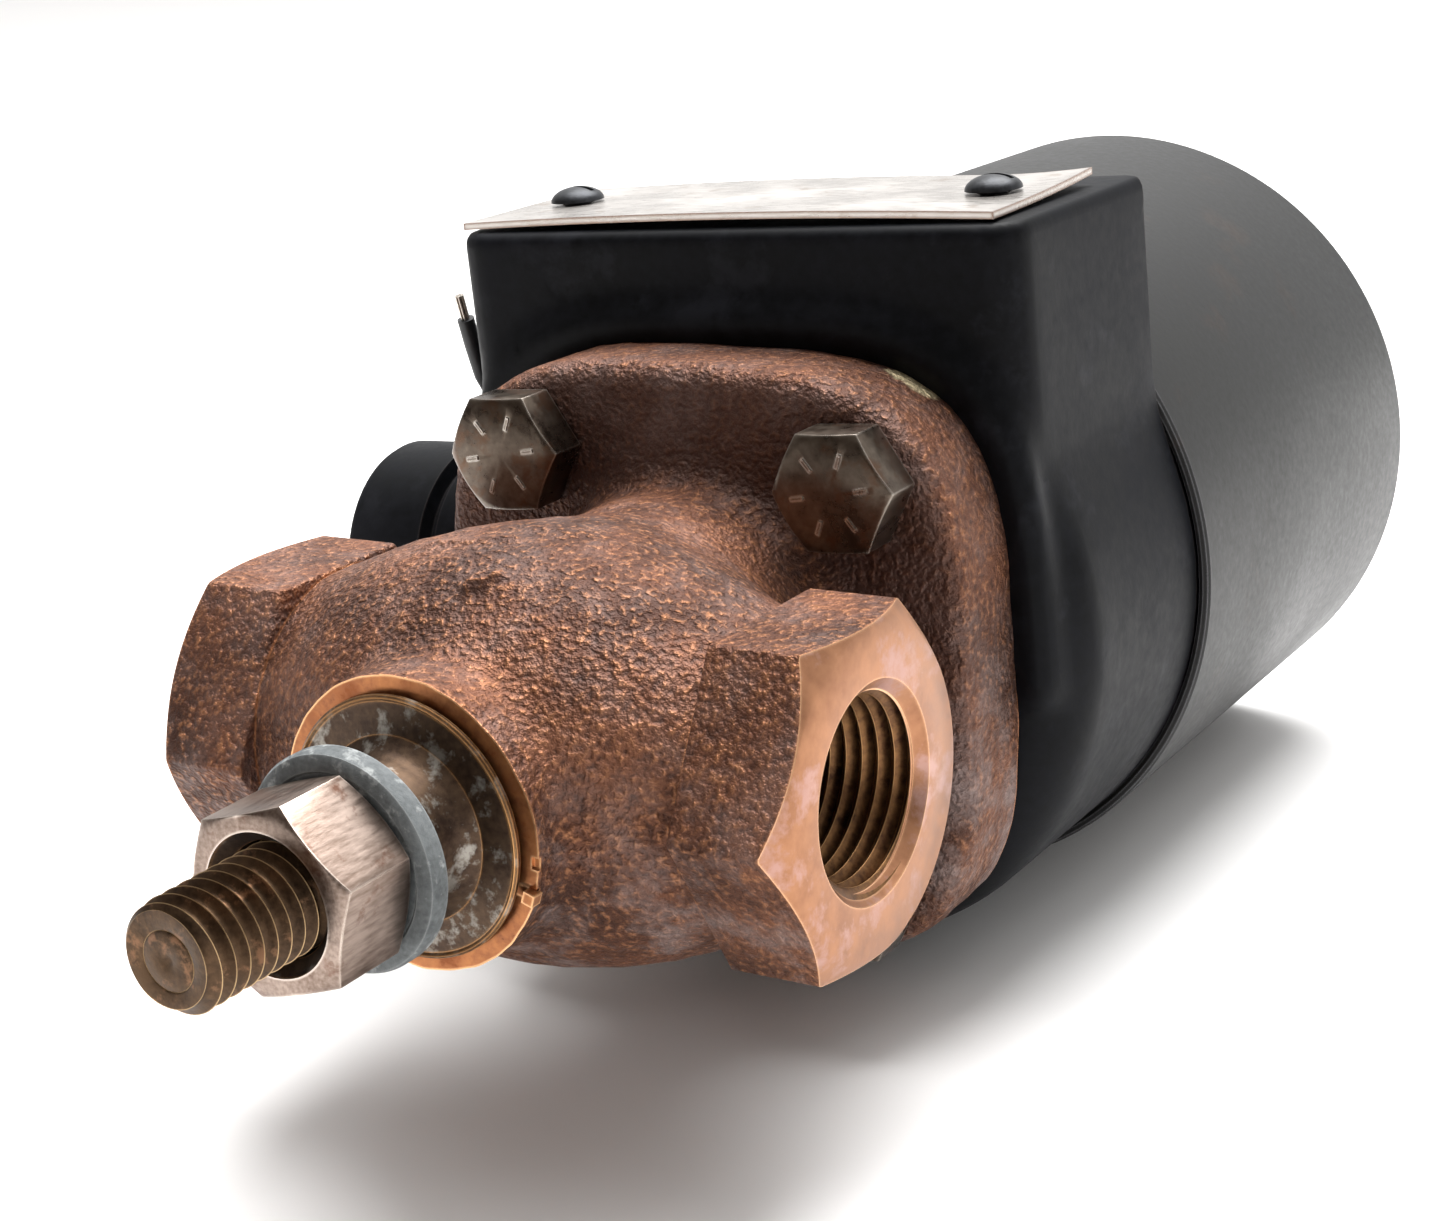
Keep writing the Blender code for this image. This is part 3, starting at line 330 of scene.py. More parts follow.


# Where a finish below is given an edge colour, that colour is mixed in along sharp edges: partly
# wear, partly painted light along the edge.
FINISH = {
    # The casting: rough brown with copper-coloured high spots and a grey haze below.
    "cast_bronze": cast_bronze(),
    # Bronze faced on a lathe: smooth, warm, with faint pink-grey stains.
    "faced_bronze": surface("faced_bronze", "#8a5f45", "#a87858", 0.85, 0.38, 2.2, 0.01,
        18.0, ("#a98377", 0.35), "#e3b48c"),
    # Cut pipe thread: brown tarnished brass flanks and bright crests, the crests partly worn and
    # partly a painted highlight.
    "cut_thread": surface("cut_thread_bronze", "#4a3020", "#87613d", 0.85, 0.4, 0.8, 0.02,
        9.0, ("#3c2618", 0.2), "#b98f60", edge_width=0.2),
    # Turned lip of the boss: an orange ring with pale edges, partly scuffed and partly a painted
    # highlight.
    "boss_bronze": surface("turned_bronze", "#7a4a30", "#b07448", 0.85, 0.33, 1.2, 0.02,
        12.0, ("#7a4526", 0.3), "#efbd8b"),
    # Turned brass gone dark, with lime along its neck.
    "machined_brass": surface("tarnished_brass", "#33251d", "#594636", 0.8, 0.42, 0.9, 0.02,
        8.0, ("#8f8a82", 0.28), "#d09a62"),
    # Threaded brass: dark flanks and thin pale crests that draw the screw, partly wear and partly
    # a painted highlight.
    "stem_brass": surface("threaded_brass", "#35271b", "#584330", 0.85, 0.42, 0.7, 0.02,
        7.0, ("#7d5c44", 0.2), "#b89a72", edge_width=0.16),
    # Milled stainless, brownish from handling.
    "stainless_steel": surface("stainless_steel", "#463b33", "#6f6459", 0.95, 0.3, 1.4, 0.006,
        9.0, ("#5f4a3c", 0.3), "#d9d2c8"),
    # Nickel plate over brass, brushed round by the spanner and slightly pink.
    "nickel_plate": surface("nickel_plate", "#6a584d", "#a08f84", 1.0, 0.34, 1.6, 0.01,
        10.0, ("#6d5144", 0.12), "#e0d2c6", stretch=(3.0, 0.6, 3.0)),
    # Turned steel: plain mid grey with a soft shine.
    "soft_steel": surface("turned_steel", "#4b4a49", "#757370", 0.95, 0.42, 1.2, 0.01),
    # Blackened screw heads: near black with a dull highlight.
    "blackened_steel": surface("blackened_steel", "#191a1c", "#34363a", 0.6, 0.4, 0.8, 0.02),
    # Bright copper: smooth and pink-orange.
    "copper": surface("bright_copper", "#a8583a", "#cf8059", 1.0, 0.28, 1.5, 0.005),
    # Black air-drying enamel brushed over steel: glossy, finely scratched, dusty in places.
    "black_enamel": surface("black_enamel", "#08090b", "#121317", 0.0, 0.5, 1.6, 0.012,
        22.0, ("#17181c", 0.2), "#2e2b2b", sheen=0.08),
    # The drawn can's older, thinner and duller enamel.
    "can_enamel": surface("worn_satin_enamel", "#191919", "#232322", 0.1, 0.45, 1.0, 0.01,
        30.0, ("#29231f", 0.1), "#77767a", sheen=0.25),
    # Brushed aluminium: almost white, streaked along its length, with brown edges.
    "aluminium_plate": surface("aluminium_plate", "#b8b1aa", "#dad5d0", 1.0, 0.3, 1.2, 0.006,
        12.0, ("#b3a79c", 0.1), "#7d6252", edge_width=0.7,
        stretch=(0.4, 3.0, 3.0)),
    # Pressed grey fibre: matt, with a felted grain.
    "grey_fibre": surface("grey_fibre", "#45494a", "#6b6f70", 0.0, 0.75, 0.7, 0.05,
        6.0, ("#979a99", 0.2), "#8e9292"),
    # PTFE: waxy off-white.
    "ptfe": surface("ptfe", "#dcdad4", "#f0eee9", 0.0, 0.45, 2.0, 0.005),
    # Moulded nylon: black with a soft even sheen.
    "black_nylon": surface("black_nylon", "#17181a", "#26282b", 0.0, 0.5, 1.5, 0.01),
    # Varnished winding: glossy red-brown, streaked round the coil.
    "coil_varnish": surface("coil_varnish", "#5b2f16", "#8a4c25", 0.1, 0.3, 0.7, 0.03,
        8.0, stretch=(0.3, 3.0, 0.3)),
    # Lead insulation: black and slightly rough.
    "lead_insulation": surface("black_lead_insulation", "#0c0c0e", "#1b1b1e", 0.0, 0.5, 0.9,
        0.02),
    # Tinned strands: a small bright point at the lead's end.
    "tinned_copper": surface("tinned_copper", "#8d8479", "#c4bcb2", 1.0, 0.35, 0.4, 0.005),
}


# --- Shapes ---

def new_object(name, mesh, *finishes):
    for finish in finishes:
        mesh.materials.append(FINISH[finish])
    return place_object(name, mesh)


def from_points(name, points, faces, *finishes):
    """A closed mesh with its normals turned outwards."""
    mesh = bpy.data.meshes.new(name)
    mesh.from_pydata([tuple(map(float, point)) for point in points], [], faces)
    shape = bmesh.new()
    shape.from_mesh(mesh)
    bmesh.ops.remove_doubles(shape, verts=shape.verts, dist=1e-4)
    bmesh.ops.recalc_face_normals(shape, faces=shape.faces)
    shape.to_mesh(mesh)
    shape.free()
    return new_object(name, mesh, *finishes)


def turned(name, profile, *finishes, steps=96):
    """Turn (radius, height) points about z; a profile off the axis closes on itself."""
    solid = profile[0][0] == 0.0 and profile[-1][0] == 0.0
    rows = profile if solid else [*profile, profile[0]]
    angles = np.arange(steps) * 2 * math.pi / steps
    points = [(r * math.cos(a), r * math.sin(a), h) for r, h in rows for a in angles]
    faces = []
    for row in range(len(rows) - 1):
        for step in range(steps):
            after = (step + 1) % steps
            faces.append((row * steps + step, row * steps + after,
                    (row + 1) * steps + after, (row + 1) * steps + step))
    return from_points(name, points, faces, *finishes)


def prism(name, sides, radius, bottom, top, *finishes, turn=0.0):
    """An upright prism whose first corner lies on +x before it is turned."""
    angles = [math.radians(turn) + 2 * math.pi * side / sides for side in range(sides)]
    points = [(radius * math.cos(a), radius * math.sin(a), h)
            for h in (bottom, top) for a in angles]
    faces = [tuple(range(sides)), tuple(range(sides, 2 * sides))]
    for side in range(sides):
        after = (side + 1) % sides
        faces.append((side, after, sides + after, sides + side))
    return from_points(name, points, faces, *finishes)


def threaded(name, root, crest, bottom, top, *finishes, taper=0.0, power=1.3):
    """A right-hand threaded rod.

    taper is the radius lost per millimetre below the top, and a higher power makes the crests
    narrower. The open seam from row to row is closed by joining each turn's last column to the
    first column one pitch up, and both ends are fans round a point on the axis.
    """
    steps, rows_per_turn = THREAD_STEPS, THREAD_ROWS
    rise = THREAD_PITCH / rows_per_turn
    rows = math.ceil((top - bottom) / rise) + rows_per_turn
    points, faces = [], []
    for row in range(rows):
        share = row % rows_per_turn / rows_per_turn
        height = abs(2 * share - 1) ** power
        for step in range(steps):
            turn = 2 * math.pi * step / steps
            z = bottom - THREAD_PITCH + row * rise + THREAD_PITCH * step / steps
            radius = root + (crest - root) * height - taper * (top - z)
            points.append((radius * math.cos(turn), radius * math.sin(turn), z))
    low, high = len(points), len(points) + 1
    points += [(0, 0, bottom - THREAD_PITCH / 2), (0, 0, top + THREAD_PITCH / 2)]
    for row in range(rows - 1):
        for step in range(steps - 1):
            corner = row * steps + step
            faces.append((corner, corner + 1, corner + steps + 1, corner + steps))
        if row + rows_per_turn + 1 < rows:
            last, first = row * steps + steps - 1, (row + rows_per_turn) * steps
            faces.append((last, first, first + steps, last + steps))
    bottom_rim = [*range(steps), *[row * steps for row in range(rows_per_turn, -1, -1)]]
    top_first = rows - 1 - rows_per_turn
    top_rim = [*range((rows - 1) * steps, rows * steps)]
    top_seam = [row * steps + steps - 1 for row in range(rows - 1, top_first - 1, -1)]
    top_loop = [*top_rim, *top_seam[1:]]
    faces += [(low, b, a) for a, b in zip(bottom_rim, bottom_rim[1:]) if a != b]
    faces += [(high, a, b) for a, b in zip(top_loop, [*top_loop[1:], top_loop[0]]) if a != b]
    return from_points(name, points, faces, *finishes)


def rotate(made, degrees, axis):
    made.data.transform(Matrix.Rotation(math.radians(degrees), 4, axis))
    return made


def along_x(made, side=1):
    """Turn a piece made along z so that its top looks along +x, or along -x."""
    return rotate(made, 90 * side, "Y")


def shift(made, x=0.0, y=0.0, z=0.0):
    made.data.transform(Matrix.Translation((x, y, z)))
    return made


def bake_modifiers(made):
    """Turn the object's live modifiers into plain mesh."""
    depsgraph = bpy.context.evaluated_depsgraph_get()
    mesh = bpy.data.meshes.new_from_object(made.evaluated_get(depsgraph))
    made.modifiers.clear()
    made.data = mesh
    return made


def carve(target, *cutters, operation="DIFFERENCE"):
    """Boolean the cutters with the target one by one, keeping each cutter's own finish."""
    for cutter in cutters:
        modifier = target.modifiers.new(cutter.name, "BOOLEAN")
        modifier.operation, modifier.object, modifier.solver = operation, cutter, "EXACT"
        modifier.material_mode = "TRANSFER"
        bake_modifiers(target)
        bpy.data.objects.remove(cutter, do_unlink=True)
    return target


def soften(made, width, segments=2):
    """Round the sharp edges by a width in millimetres."""
    bevel = made.modifiers.new("edge", "BEVEL")
    bevel.width, bevel.segments, bevel.limit_method = width, segments, "ANGLE"
    bevel.angle_limit = math.radians(30)
    return bake_modifiers(made)


def settle(made, body, finish, *nodes, sharp=32.0):
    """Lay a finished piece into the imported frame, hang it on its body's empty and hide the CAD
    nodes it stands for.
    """
    made.data.transform(LAY_DOWN)
    made.data.shade_smooth()
    made.data.set_sharp_from_angle(angle=math.radians(sharp))
    declare(made, body, finish, *nodes)
    return made


def declare(made, body, finish, *nodes):
    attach(made, body)
    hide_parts(*nodes)


def smooth_min(a, b, blend):
    """The smaller of two distances, with a fillet as wide as the blend."""
    share = np.clip(0.5 + 0.5 * (b - a) / blend, 0, 1)
    return b + (a - b) * share - blend * share * (1 - share)


def smooth_max(a, b, blend):
    return -smooth_min(-a, -b, blend)


def sample_grid(low, high, step):
    """The x, y and z of a box of points, shaped to broadcast together."""
    axes = [np.arange(a, b + step / 2, step, dtype=np.float32) for a, b in zip(low, high)]
    return axes[0][:, None, None], axes[1][None, :, None], axes[2][None, None, :]


def from_distance(name, distance, low, step, *finishes):
    """The surface where a sampled distance is zero, in millimetres."""
    grid = openvdb.FloatGrid()
    grid.copyFromArray(np.ascontiguousarray(distance, dtype=np.float32))
    points, triangles, quads = grid.convertToPolygons(isovalue=0.0, adaptivity=ADAPTIVITY)
    points = points * step + np.array(low)
    faces = [tuple(map(int, face)) for face in (*triangles, *quads)]
    return from_points(name, points, faces, *finishes)


def bolt_places():
    """The four bolts' x and y, on a rectangle turned a little about the valve axis."""
    angle = math.radians(BOLT_PATTERN_TURN)
    places = []
    for side_x, side_y in ((1, -1), (-1, -1), (-1, 1), (1, 1)):
        x, y = side_x * BOLT_SPACING[0], side_y * BOLT_SPACING[1]
        places.append((x * math.cos(angle) + y * math.sin(angle),
                y * math.cos(angle) - x * math.sin(angle)))
    return places


# --- Body casting ---

def capsule(x, y, z, start, end):
    """Distance to the line between two points."""
    way = [b - a for a, b in zip(start, end)]
    along = sum((v - a) * w for v, a, w in zip((x, y, z), start, way)) / sum(w * w for w in way)
    along = np.clip(along, 0, 1)
    return np.sqrt(sum((v - a - along * w) ** 2 for v, a, w in zip((x, y, z), start, way)))


def flange_outline(x, y):
    """Half the width of the rounded square through a point."""
    return (np.abs(x) ** FLANGE_POWER + np.abs(y) ** FLANGE_POWER) ** (1 / FLANGE_POWER)


def cast_shape():
    """Globe, hexagons, bonnet neck, flange and boss run together with casting fillets."""
    low, high = (-40.5, -36.0, -28.0), (40.5, 36.0, 42.0)
    x, y, z = sample_grid(low, high, CAST_STEP)
    across = np.sqrt(y * y + z * z)
    about = np.sqrt(x * x + y * y)
    globe_radius = GLOBE_RADIUS * np.sqrt(np.clip(1 - (x / GLOBE_HALF_LENGTH) ** 2, 0.05, 1))
    globe = smooth_min(across - globe_radius, across - HEX_NECK_RADIUS, HEX_FILLET)
    globe = np.maximum(globe, np.abs(x) - GLOBE_END)
    neck = np.maximum(np.maximum(about - NECK_RADIUS, NECK_START - z), z - NECK_END)
    shape = smooth_min(globe, neck, NECK_FILLET)
    flange = smooth_max(flange_outline(x, y) - FLANGE_HALF, FLANGE_BOTTOM - z, FLANGE_EDGE)
    flange = np.maximum(flange, z - (FLANGE_TOP + FACING_STOCK))
    shape = smooth_min(shape, flange, FLANGE_FILLET)
    boss = np.maximum(BOSS_FACE - FACING_STOCK - z, z - BOSS_INNER_END)
    shape = smooth_min(shape, np.maximum(about - BOSS_RADIUS, boss), BOSS_FILLET)
    for start, end, radius in CAST_RIDGES:
        shape = smooth_min(shape, capsule(x, y, z, start, end) - radius, RIDGE_FILLET)
    pit = capsule(x, y, z, *CAST_PIT[:2]) - CAST_PIT[2]
    shape = smooth_max(shape, -pit, PIT_FILLET)
    waves = sum(np.sin(x * a + 1.3 * i) * np.sin(y * b + 0.7 * i) * np.sin(z * c + 2.1 * i)
            for i, (a, b, c) in enumerate(CAST_WAVES))
    return from_distance("valve_casting", shape + CAST_WAVE_HEIGHT * waves, low, CAST_STEP,
            "cast_bronze")


def port_thread(name, side):
    """The tapered threaded plug that cuts a port, with its lead-in chamfer."""
    plug = threaded(name, PORT_ROOT, PORT_CREST, PORT_THREAD_END, PORT_FACE + 2.0, "cut_thread",
            taper=PORT_TAPER)
    inner = PORT_FACE - PORT_MOUTH_DEPTH
    chamfer = turned(name + "_mouth", [(0.0, PORT_FACE + 1), (PORT_MOUTH_RADIUS, PORT_FACE + 1),
            (PORT_MOUTH_INNER, inner), (0.0, inner)], "faced_bronze")
    return along_x(plug, side), along_x(chamfer, side)


def hexagon_end(name, side):
    """The hexagon of one port, a little longer than its faced end."""
    end = prism(name, 6, HEX_FLATS / math.sqrt(3), HEX_INNER_END, PORT_FACE + 1.0, "cast_bronze")
    return along_x(soften(end, 0.4, 3), side)


def valve_casting():
    """The casting with its hexagons, turned faces, port threads and inner passages."""
    body = cast_shape()
    carve(body, hexagon_end("outlet_hexagon", 1), hexagon_end("inlet_hexagon", -1),
          operation="UNION")
    shoulder, far = PORT_FACE - PORT_CHAMFER_DEPTH, 70.0
    rim = PORT_FACE_RADIUS + PORT_CHAMFER_WIDTH
    faces = turned("port_faces", [(0.0, PORT_FACE), (PORT_FACE_RADIUS, PORT_FACE),
            (rim, shoulder), (far, shoulder), (far, -shoulder),
            (rim, -shoulder), (PORT_FACE_RADIUS, -PORT_FACE),
            (0.0, -PORT_FACE)], "faced_bronze", steps=128)
    ends = turned("flange_and_boss_faces", [(0.0, FLANGE_TOP), (60.0, FLANGE_TOP),
            (60.0, BOSS_FACE), (0.0, BOSS_FACE)], "boss_bronze")
    carve(body, along_x(faces), ends, operation="INTERSECT")
    for name, side in (("outlet_thread", 1), ("inlet_thread", -1)):
        carve(body, *port_thread(name, side))
    passages = [along_x(turned("inlet_passage", rod(*INLET_PASSAGE), "cast_bronze", steps=48))]
    for name, radius, bottom, top, steps in BODY_BORES:
        passages.append(turned(name, rod(radius, bottom, top), "faced_bronze", steps=steps))
    outlet = turned("outlet_passage", rod(*OUTLET_PASSAGE), "cast_bronze", steps=32)
    passages.append(shift(rotate(outlet, OUTLET_TILT, "Y"), x=OUTLET_X))
    for number, (x, y) in enumerate(bolt_places(), 1):
        hole = turned(f"flange_hole_{number}",
                rod(BOLT_HOLE_RADIUS, FLANGE_BOTTOM - 2.0, FLANGE_TOP + 2.0),
                "faced_bronze", steps=32)
        passages.append(shift(hole, x, y))
    for number, angle in enumerate(LIP_NOTCHES):
        notch = prism(f"lip_notch_{number}", 4, NOTCH_HALF, BOSS_FACE - 1,
                BOSS_FACE + NOTCH_DEPTH, "boss_bronze", turn=45)
        passages.append(rotate(shift(notch, x=BOSS_RADIUS - 0.2), angle, "Z"))
    carve(body, *passages)
    settle(body, "valve", "cast_bronze", "valve_body", sharp=38.0)


def rod(radius, bottom, top):
    """The profile of a plain cylinder."""
    return [(0.0, top), (radius, top), (radius, bottom), (0.0, bottom)]


# --- Bottom stem ---

def stem_pieces():
    """Bushing, threaded stem, lock nut and sealing washer, all round the valve axis."""
    bushing = turned("bottom_bushing_face", [
        (BUSHING_RADIUS, BUSHING_INNER_END), (BUSHING_RADIUS, BOSS_FACE),
        (13.2, BOSS_FACE - 0.3), (COLLAR_RADIUS, BOSS_FACE - 0.6),
        (COLLAR_RADIUS, BOSS_FACE - 1.0), (13.2, BOSS_FACE - 1.25), (12.9, BOSS_FACE - 1.0),
        (9.6, BOSS_FACE - 1.3), (8.6, BOSS_FACE - 2.2), (BUSHING_NECK, BOSS_FACE - 3.4),
        (BUSHING_NECK, WASHER_BACK + GAP), (PACKING_RADIUS, WASHER_BACK + GAP),
        (PACKING_RADIUS, PACKING_END), (BUSHING_BORE, PACKING_END),
        (BUSHING_BORE, BUSHING_INNER_END)], "machined_brass")
    settle(bushing, "valve", "machined_brass", "bottom_bushing")

    stem = threaded("stem_screw", STEM_RADIUS - STEM_THREAD_DEPTH, STEM_RADIUS, STEM_TIP - 1,
            STEM_INNER_END + 1, "stem_brass", power=STEM_CREST_POWER)
    limit = turned("stem_ends", [
        (0.0, STEM_INNER_END), (STEM_RADIUS + 1, STEM_INNER_END),
        (STEM_RADIUS + 1, STEM_TIP + 1.2),
        (STEM_RADIUS - 0.7, STEM_TIP), (3.1, STEM_TIP), (2.9, STEM_TIP + 0.12),
        (2.7, STEM_TIP), (0.7, STEM_TIP), (0.0, STEM_TIP + 0.35)], "stem_brass")
    carve(stem, limit, operation="INTERSECT")
    socket = rod(TIP_SOCKET_RADIUS, STEM_INNER_END - TIP_SOCKET_DEPTH, STEM_INNER_END + 1)
    carve(stem, turned("tip_socket", socket, "stem_brass", steps=32))
    settle(stem, "manual_stem", "stem_brass", "manual_stem")

    corner = NUT_FLATS / math.sqrt(3)
    nut = prism("lock_nut_hex", 6, corner, NUT_FACE, NUT_BACK, "nickel_plate", turn=NUT_TURN)
    rims = turned("nut_rims", [(0.0, NUT_BACK), (NUT_CROWN, NUT_BACK), (NUT_RIM, NUT_BACK - 1.2),
            (NUT_RIM, NUT_FACE + 1.0), (NUT_CROWN, NUT_FACE),
            (0.0, NUT_FACE)], "nickel_plate")
    carve(nut, rims, operation="INTERSECT")
    soften(nut, 0.22)
    hole = turned("nut_hole", [(0.0, NUT_BACK + 1), (NUT_BORE, NUT_BACK + 1),
                         (NUT_BORE, NUT_FACE + 1.6), (NUT_COUNTERSINK, NUT_FACE + 0.2),
                         (NUT_COUNTERSINK, NUT_FACE - 1), (0.0, NUT_FACE - 1)],
            "machined_brass")
    carve(nut, hole)
    settle(nut, "valve", "nickel_plate", "lock_nut")

    washer = turned("sealing_ring", [
        (WASHER_RADIUS - WASHER_EDGE, WASHER_BACK), (WASHER_RADIUS, WASHER_BACK - WASHER_EDGE),
        (WASHER_RADIUS, WASHER_FACE + WASHER_EDGE), (WASHER_RADIUS - 0.25, WASHER_FACE + 0.25),
        (WASHER_RADIUS - WASHER_EDGE, WASHER_FACE), (WASHER_RECESS, WASHER_FACE),
        (WASHER_RECESS - 0.3, WASHER_FACE + 0.3), (WASHER_HOLE, WASHER_FACE + 0.3),
        (WASHER_HOLE, WASHER_BACK)], "grey_fibre")
    settle(washer, "valve", "grey_fibre", "sealing_washer")


# --- Bolts ---

def one_bolt():
    """A hex bolt with a chamfered head, raised radial marks and a plain shank."""
    face = -BOLT_HEIGHT
    head = prism("bolt_head", 6, BOLT_FLATS / math.sqrt(3), face, 0.0, "stainless_steel",
            turn=BOLT_TURN)
    crown = turned("bolt_crown", [(0.0, 1.0), (BOLT_RIM, 1.0), (BOLT_RIM, face + BOLT_CHAMFER),
            (BOLT_CROWN, face), (0.0, face)], "stainless_steel")
    carve(head, crown, operation="INTERSECT")
    soften(head, 0.2)
    for mark in range(MARKS):
        bar = prism(f"grade_mark_{mark}", 4, 1.0, face - MARK_HEIGHT, face + 0.3,
                "stainless_steel", turn=45)
        bar.data.transform(Matrix.Diagonal(MARK_SHAPE))
        rotate(shift(bar, y=MARK_PLACE), 360 / MARKS * mark + MARK_TURN, "Z")
        carve(head, bar, operation="UNION")
    shank = turned("bolt_shank", rod(SHANK_RADIUS, -1.0, BOLT_END - BOLT_SEAT),
            "stainless_steel", steps=32)
    return carve(head, shank, operation="UNION")


def repeat_on_points(name, source, places, finish):
    """Put copies of one piece on a set of points with Geometry Nodes, as one plain mesh."""
    tree = bpy.data.node_groups.new(name + "_layout", "GeometryNodeTree")
    sockets = tree.interface
    sockets.new_socket("Geometry", in_out="INPUT", socket_type="NodeSocketGeometry")
    sockets.new_socket("Copied piece", in_out="INPUT", socket_type="NodeSocketObject")
    sockets.new_socket("Finish", in_out="INPUT", socket_type="NodeSocketMaterial")
    sockets.new_socket("Geometry", in_out="OUTPUT", socket_type="NodeSocketGeometry")
    given = add(tree, "NodeGroupInput").outputs
    copied = add(tree, "GeometryNodeObjectInfo", {"Object": given["Copied piece"]})
    placed = add(tree, "GeometryNodeInstanceOnPoints", {"Points": given["Geometry"],
            "Instance": copied.outputs["Geometry"]}).outputs["Instances"]
    plain = add(tree, "GeometryNodeRealizeInstances", {"Geometry": placed}).outputs["Geometry"]
    painted = add(tree, "GeometryNodeSetMaterial", {"Geometry": plain,
            "Material": given["Finish"]}).outputs["Geometry"]
    add(tree, "NodeGroupOutput", {"Geometry": painted})
    mesh = bpy.data.meshes.new(name)
    mesh.from_pydata(places, [], [])
    made = new_object(name, mesh)
    layout = made.modifiers.new("layout", "NODES")
    layout.node_group = tree
    values = {"Copied piece": source, "Finish": FINISH[finish]}
    for socket in sockets.items_tree:
        if socket.in_out == "INPUT" and socket.name in values:
            layout[socket.identifier] = values[socket.name]
    bake_modifiers(made)
    bpy.data.objects.remove(source, do_unlink=True)
    return made


def flange_bolts():
    places = [(x, y, BOLT_SEAT) for x, y in bolt_places()]
    bolts = repeat_on_points("flange_bolts", one_bolt(), places, "stainless_steel")
    settle(bolts, "valve", "stainless_steel", *[f"flange_bolt_{n}" for n in (1, 2, 3, 4)])


# --- Housing ---

def rounded_corner(a, b, radius):
    """Distance to a right-angled edge at a = b = 0, rounded by a radius."""
    a, b = a + radius, b + radius
    outside = np.sqrt(np.maximum(a, 0) ** 2 + np.maximum(b, 0) ** 2)
    return outside + np.minimum(np.maximum(a, b), 0) - radius


def housing_shape():
    """The square box of the nameplate side run into the round bowl of the floor side."""
    low, high = (-44.0, -50.0, 37.0), (44.0, 44.0, 78.0)
    x, y, z = sample_grid(low, high, SHELL_STEP)
    about = np.sqrt(x * x + y * y)
    bowl = rounded_corner(about - BASE_RADIUS, BASE_FRONT - z, BASE_ROUND)
    sides = rounded_corner(np.abs(x) - BLOCK_HALF, BASE_FRONT - z, BLOCK_ROUND)
    block = smooth_max(np.maximum(sides, y), -y - BLOCK_TOP, BLOCK_EDGE)
    # A bead of paint runs round the flange and fades out below it.
    paint = np.sqrt((flange_outline(x, y) - FLANGE_HALF - PAINT_GAP) ** 2
            + (z - BASE_FRONT - PAINT_LIFT) ** 2) - PAINT_RADIUS
    paint = smooth_max(paint, y - PAINT_END, PAINT_BLEND)
    shape = smooth_min(smooth_min(bowl, block, BLOCK_BLEND), paint, PAINT_BLEND)
    shape = np.maximum(shape, z - SHELL_END)
    return from_distance("housing_shell", shape, low, SHELL_STEP, "black_enamel")


def turn_housing(made):
    """Turn a piece about the valve axis with the housing, which sits slightly askew."""
    return rotate(made, -HOUSING_TURN, "Z")


def housing():
    """The housing with its cavity, the spigot inside the can, and the holes."""
    base = housing_shape()
    back = turned("housing_back", rod(90.0, 30.0, BASE_BACK), "black_enamel")
    carve(base, back, operation="INTERSECT")
    inner = BASE_RADIUS - BASE_WALL
    spigot = turned("housing_spigot", [(SPIGOT_RADIUS, SPIGOT_START), (SPIGOT_RADIUS, SPIGOT_END),
                               (inner, SPIGOT_END), (inner, SPIGOT_START)],
            "black_enamel")
    cavity = turned("housing_cavity", [(0.0, 82.0), (inner, 82.0), *CAVITY_ROUND,
            (0.0, CAVITY_ROUND[-1][1])], "black_enamel")
    carve(base, cavity)
    carve(base, spigot, operation="UNION")
    hole = turned("front_hole", rod(FRONT_HOLE_RADIUS, 38.0, 45.0), "black_enamel")
    carve(base, hole)
    for number, (x, y) in enumerate(bolt_places(), 1):
        bolt_hole = turned(f"housing_hole_{number}", rod(BOLT_HOLE_RADIUS, 38.0, 46.0),
                "black_enamel", steps=24)
        turn = Matrix.Rotation(math.radians(HOUSING_TURN), 4, "Z")
        carve(base, shift(bolt_hole, *(turn @ Vector((x, y, 0)))))
    lead_hole = turned("lead_hole", rod(HUB_BORE, -43.0, -33.0), "black_enamel", steps=48)
    carve(base, shift(along_x(lead_hole), y=-HUB_LIFT, z=HUB_Z))
    for x in (-SCREW_X, SCREW_X):
        hole = turned(f"screw_hole_{x}", rod(SCREW_HOLE, 40.0, 50.0), "black_enamel", steps=24)
        carve(base, shift(rotate(hole, 90, "X"), x=x, z=SCREW_Z))
    settle(turn_housing(base), "valve", "black_enamel", "housing_base")


def hub():
    """The stepped conduit socket, cut to the bowl it stands on."""
    body = turned("conduit_socket", [
        (HUB_INNER_RADIUS, HUB_ROOT), (HUB_INNER_RADIUS, HUB_SHOULDER + 0.5),
        (HUB_INNER_RADIUS - 0.8, HUB_SHOULDER + 0.2), (HUB_INNER_RADIUS - 0.8, HUB_SHOULDER - 0.6),
        (HUB_RADIUS, HUB_SHOULDER - 1.2), (HUB_RADIUS, HUB_MOUTH + 1.2),
        (HUB_RADIUS - 0.4, HUB_MOUTH + 0.4), (HUB_RADIUS - 1.2, HUB_MOUTH),
        (HUB_BORE + 1.0, HUB_MOUTH), (HUB_BORE, HUB_MOUTH + 1.0), (HUB_BORE, HUB_ROOT)],
        "black_enamel")
    along_x(body)
    shift(body, y=-HUB_LIFT, z=HUB_Z)
    carve(body, turned("hub_seat", rod(BASE_RADIUS + GAP, 30.0, 80.0), "black_enamel"))
    settle(turn_housing(body), "valve", "black_enamel", "conduit_hub")


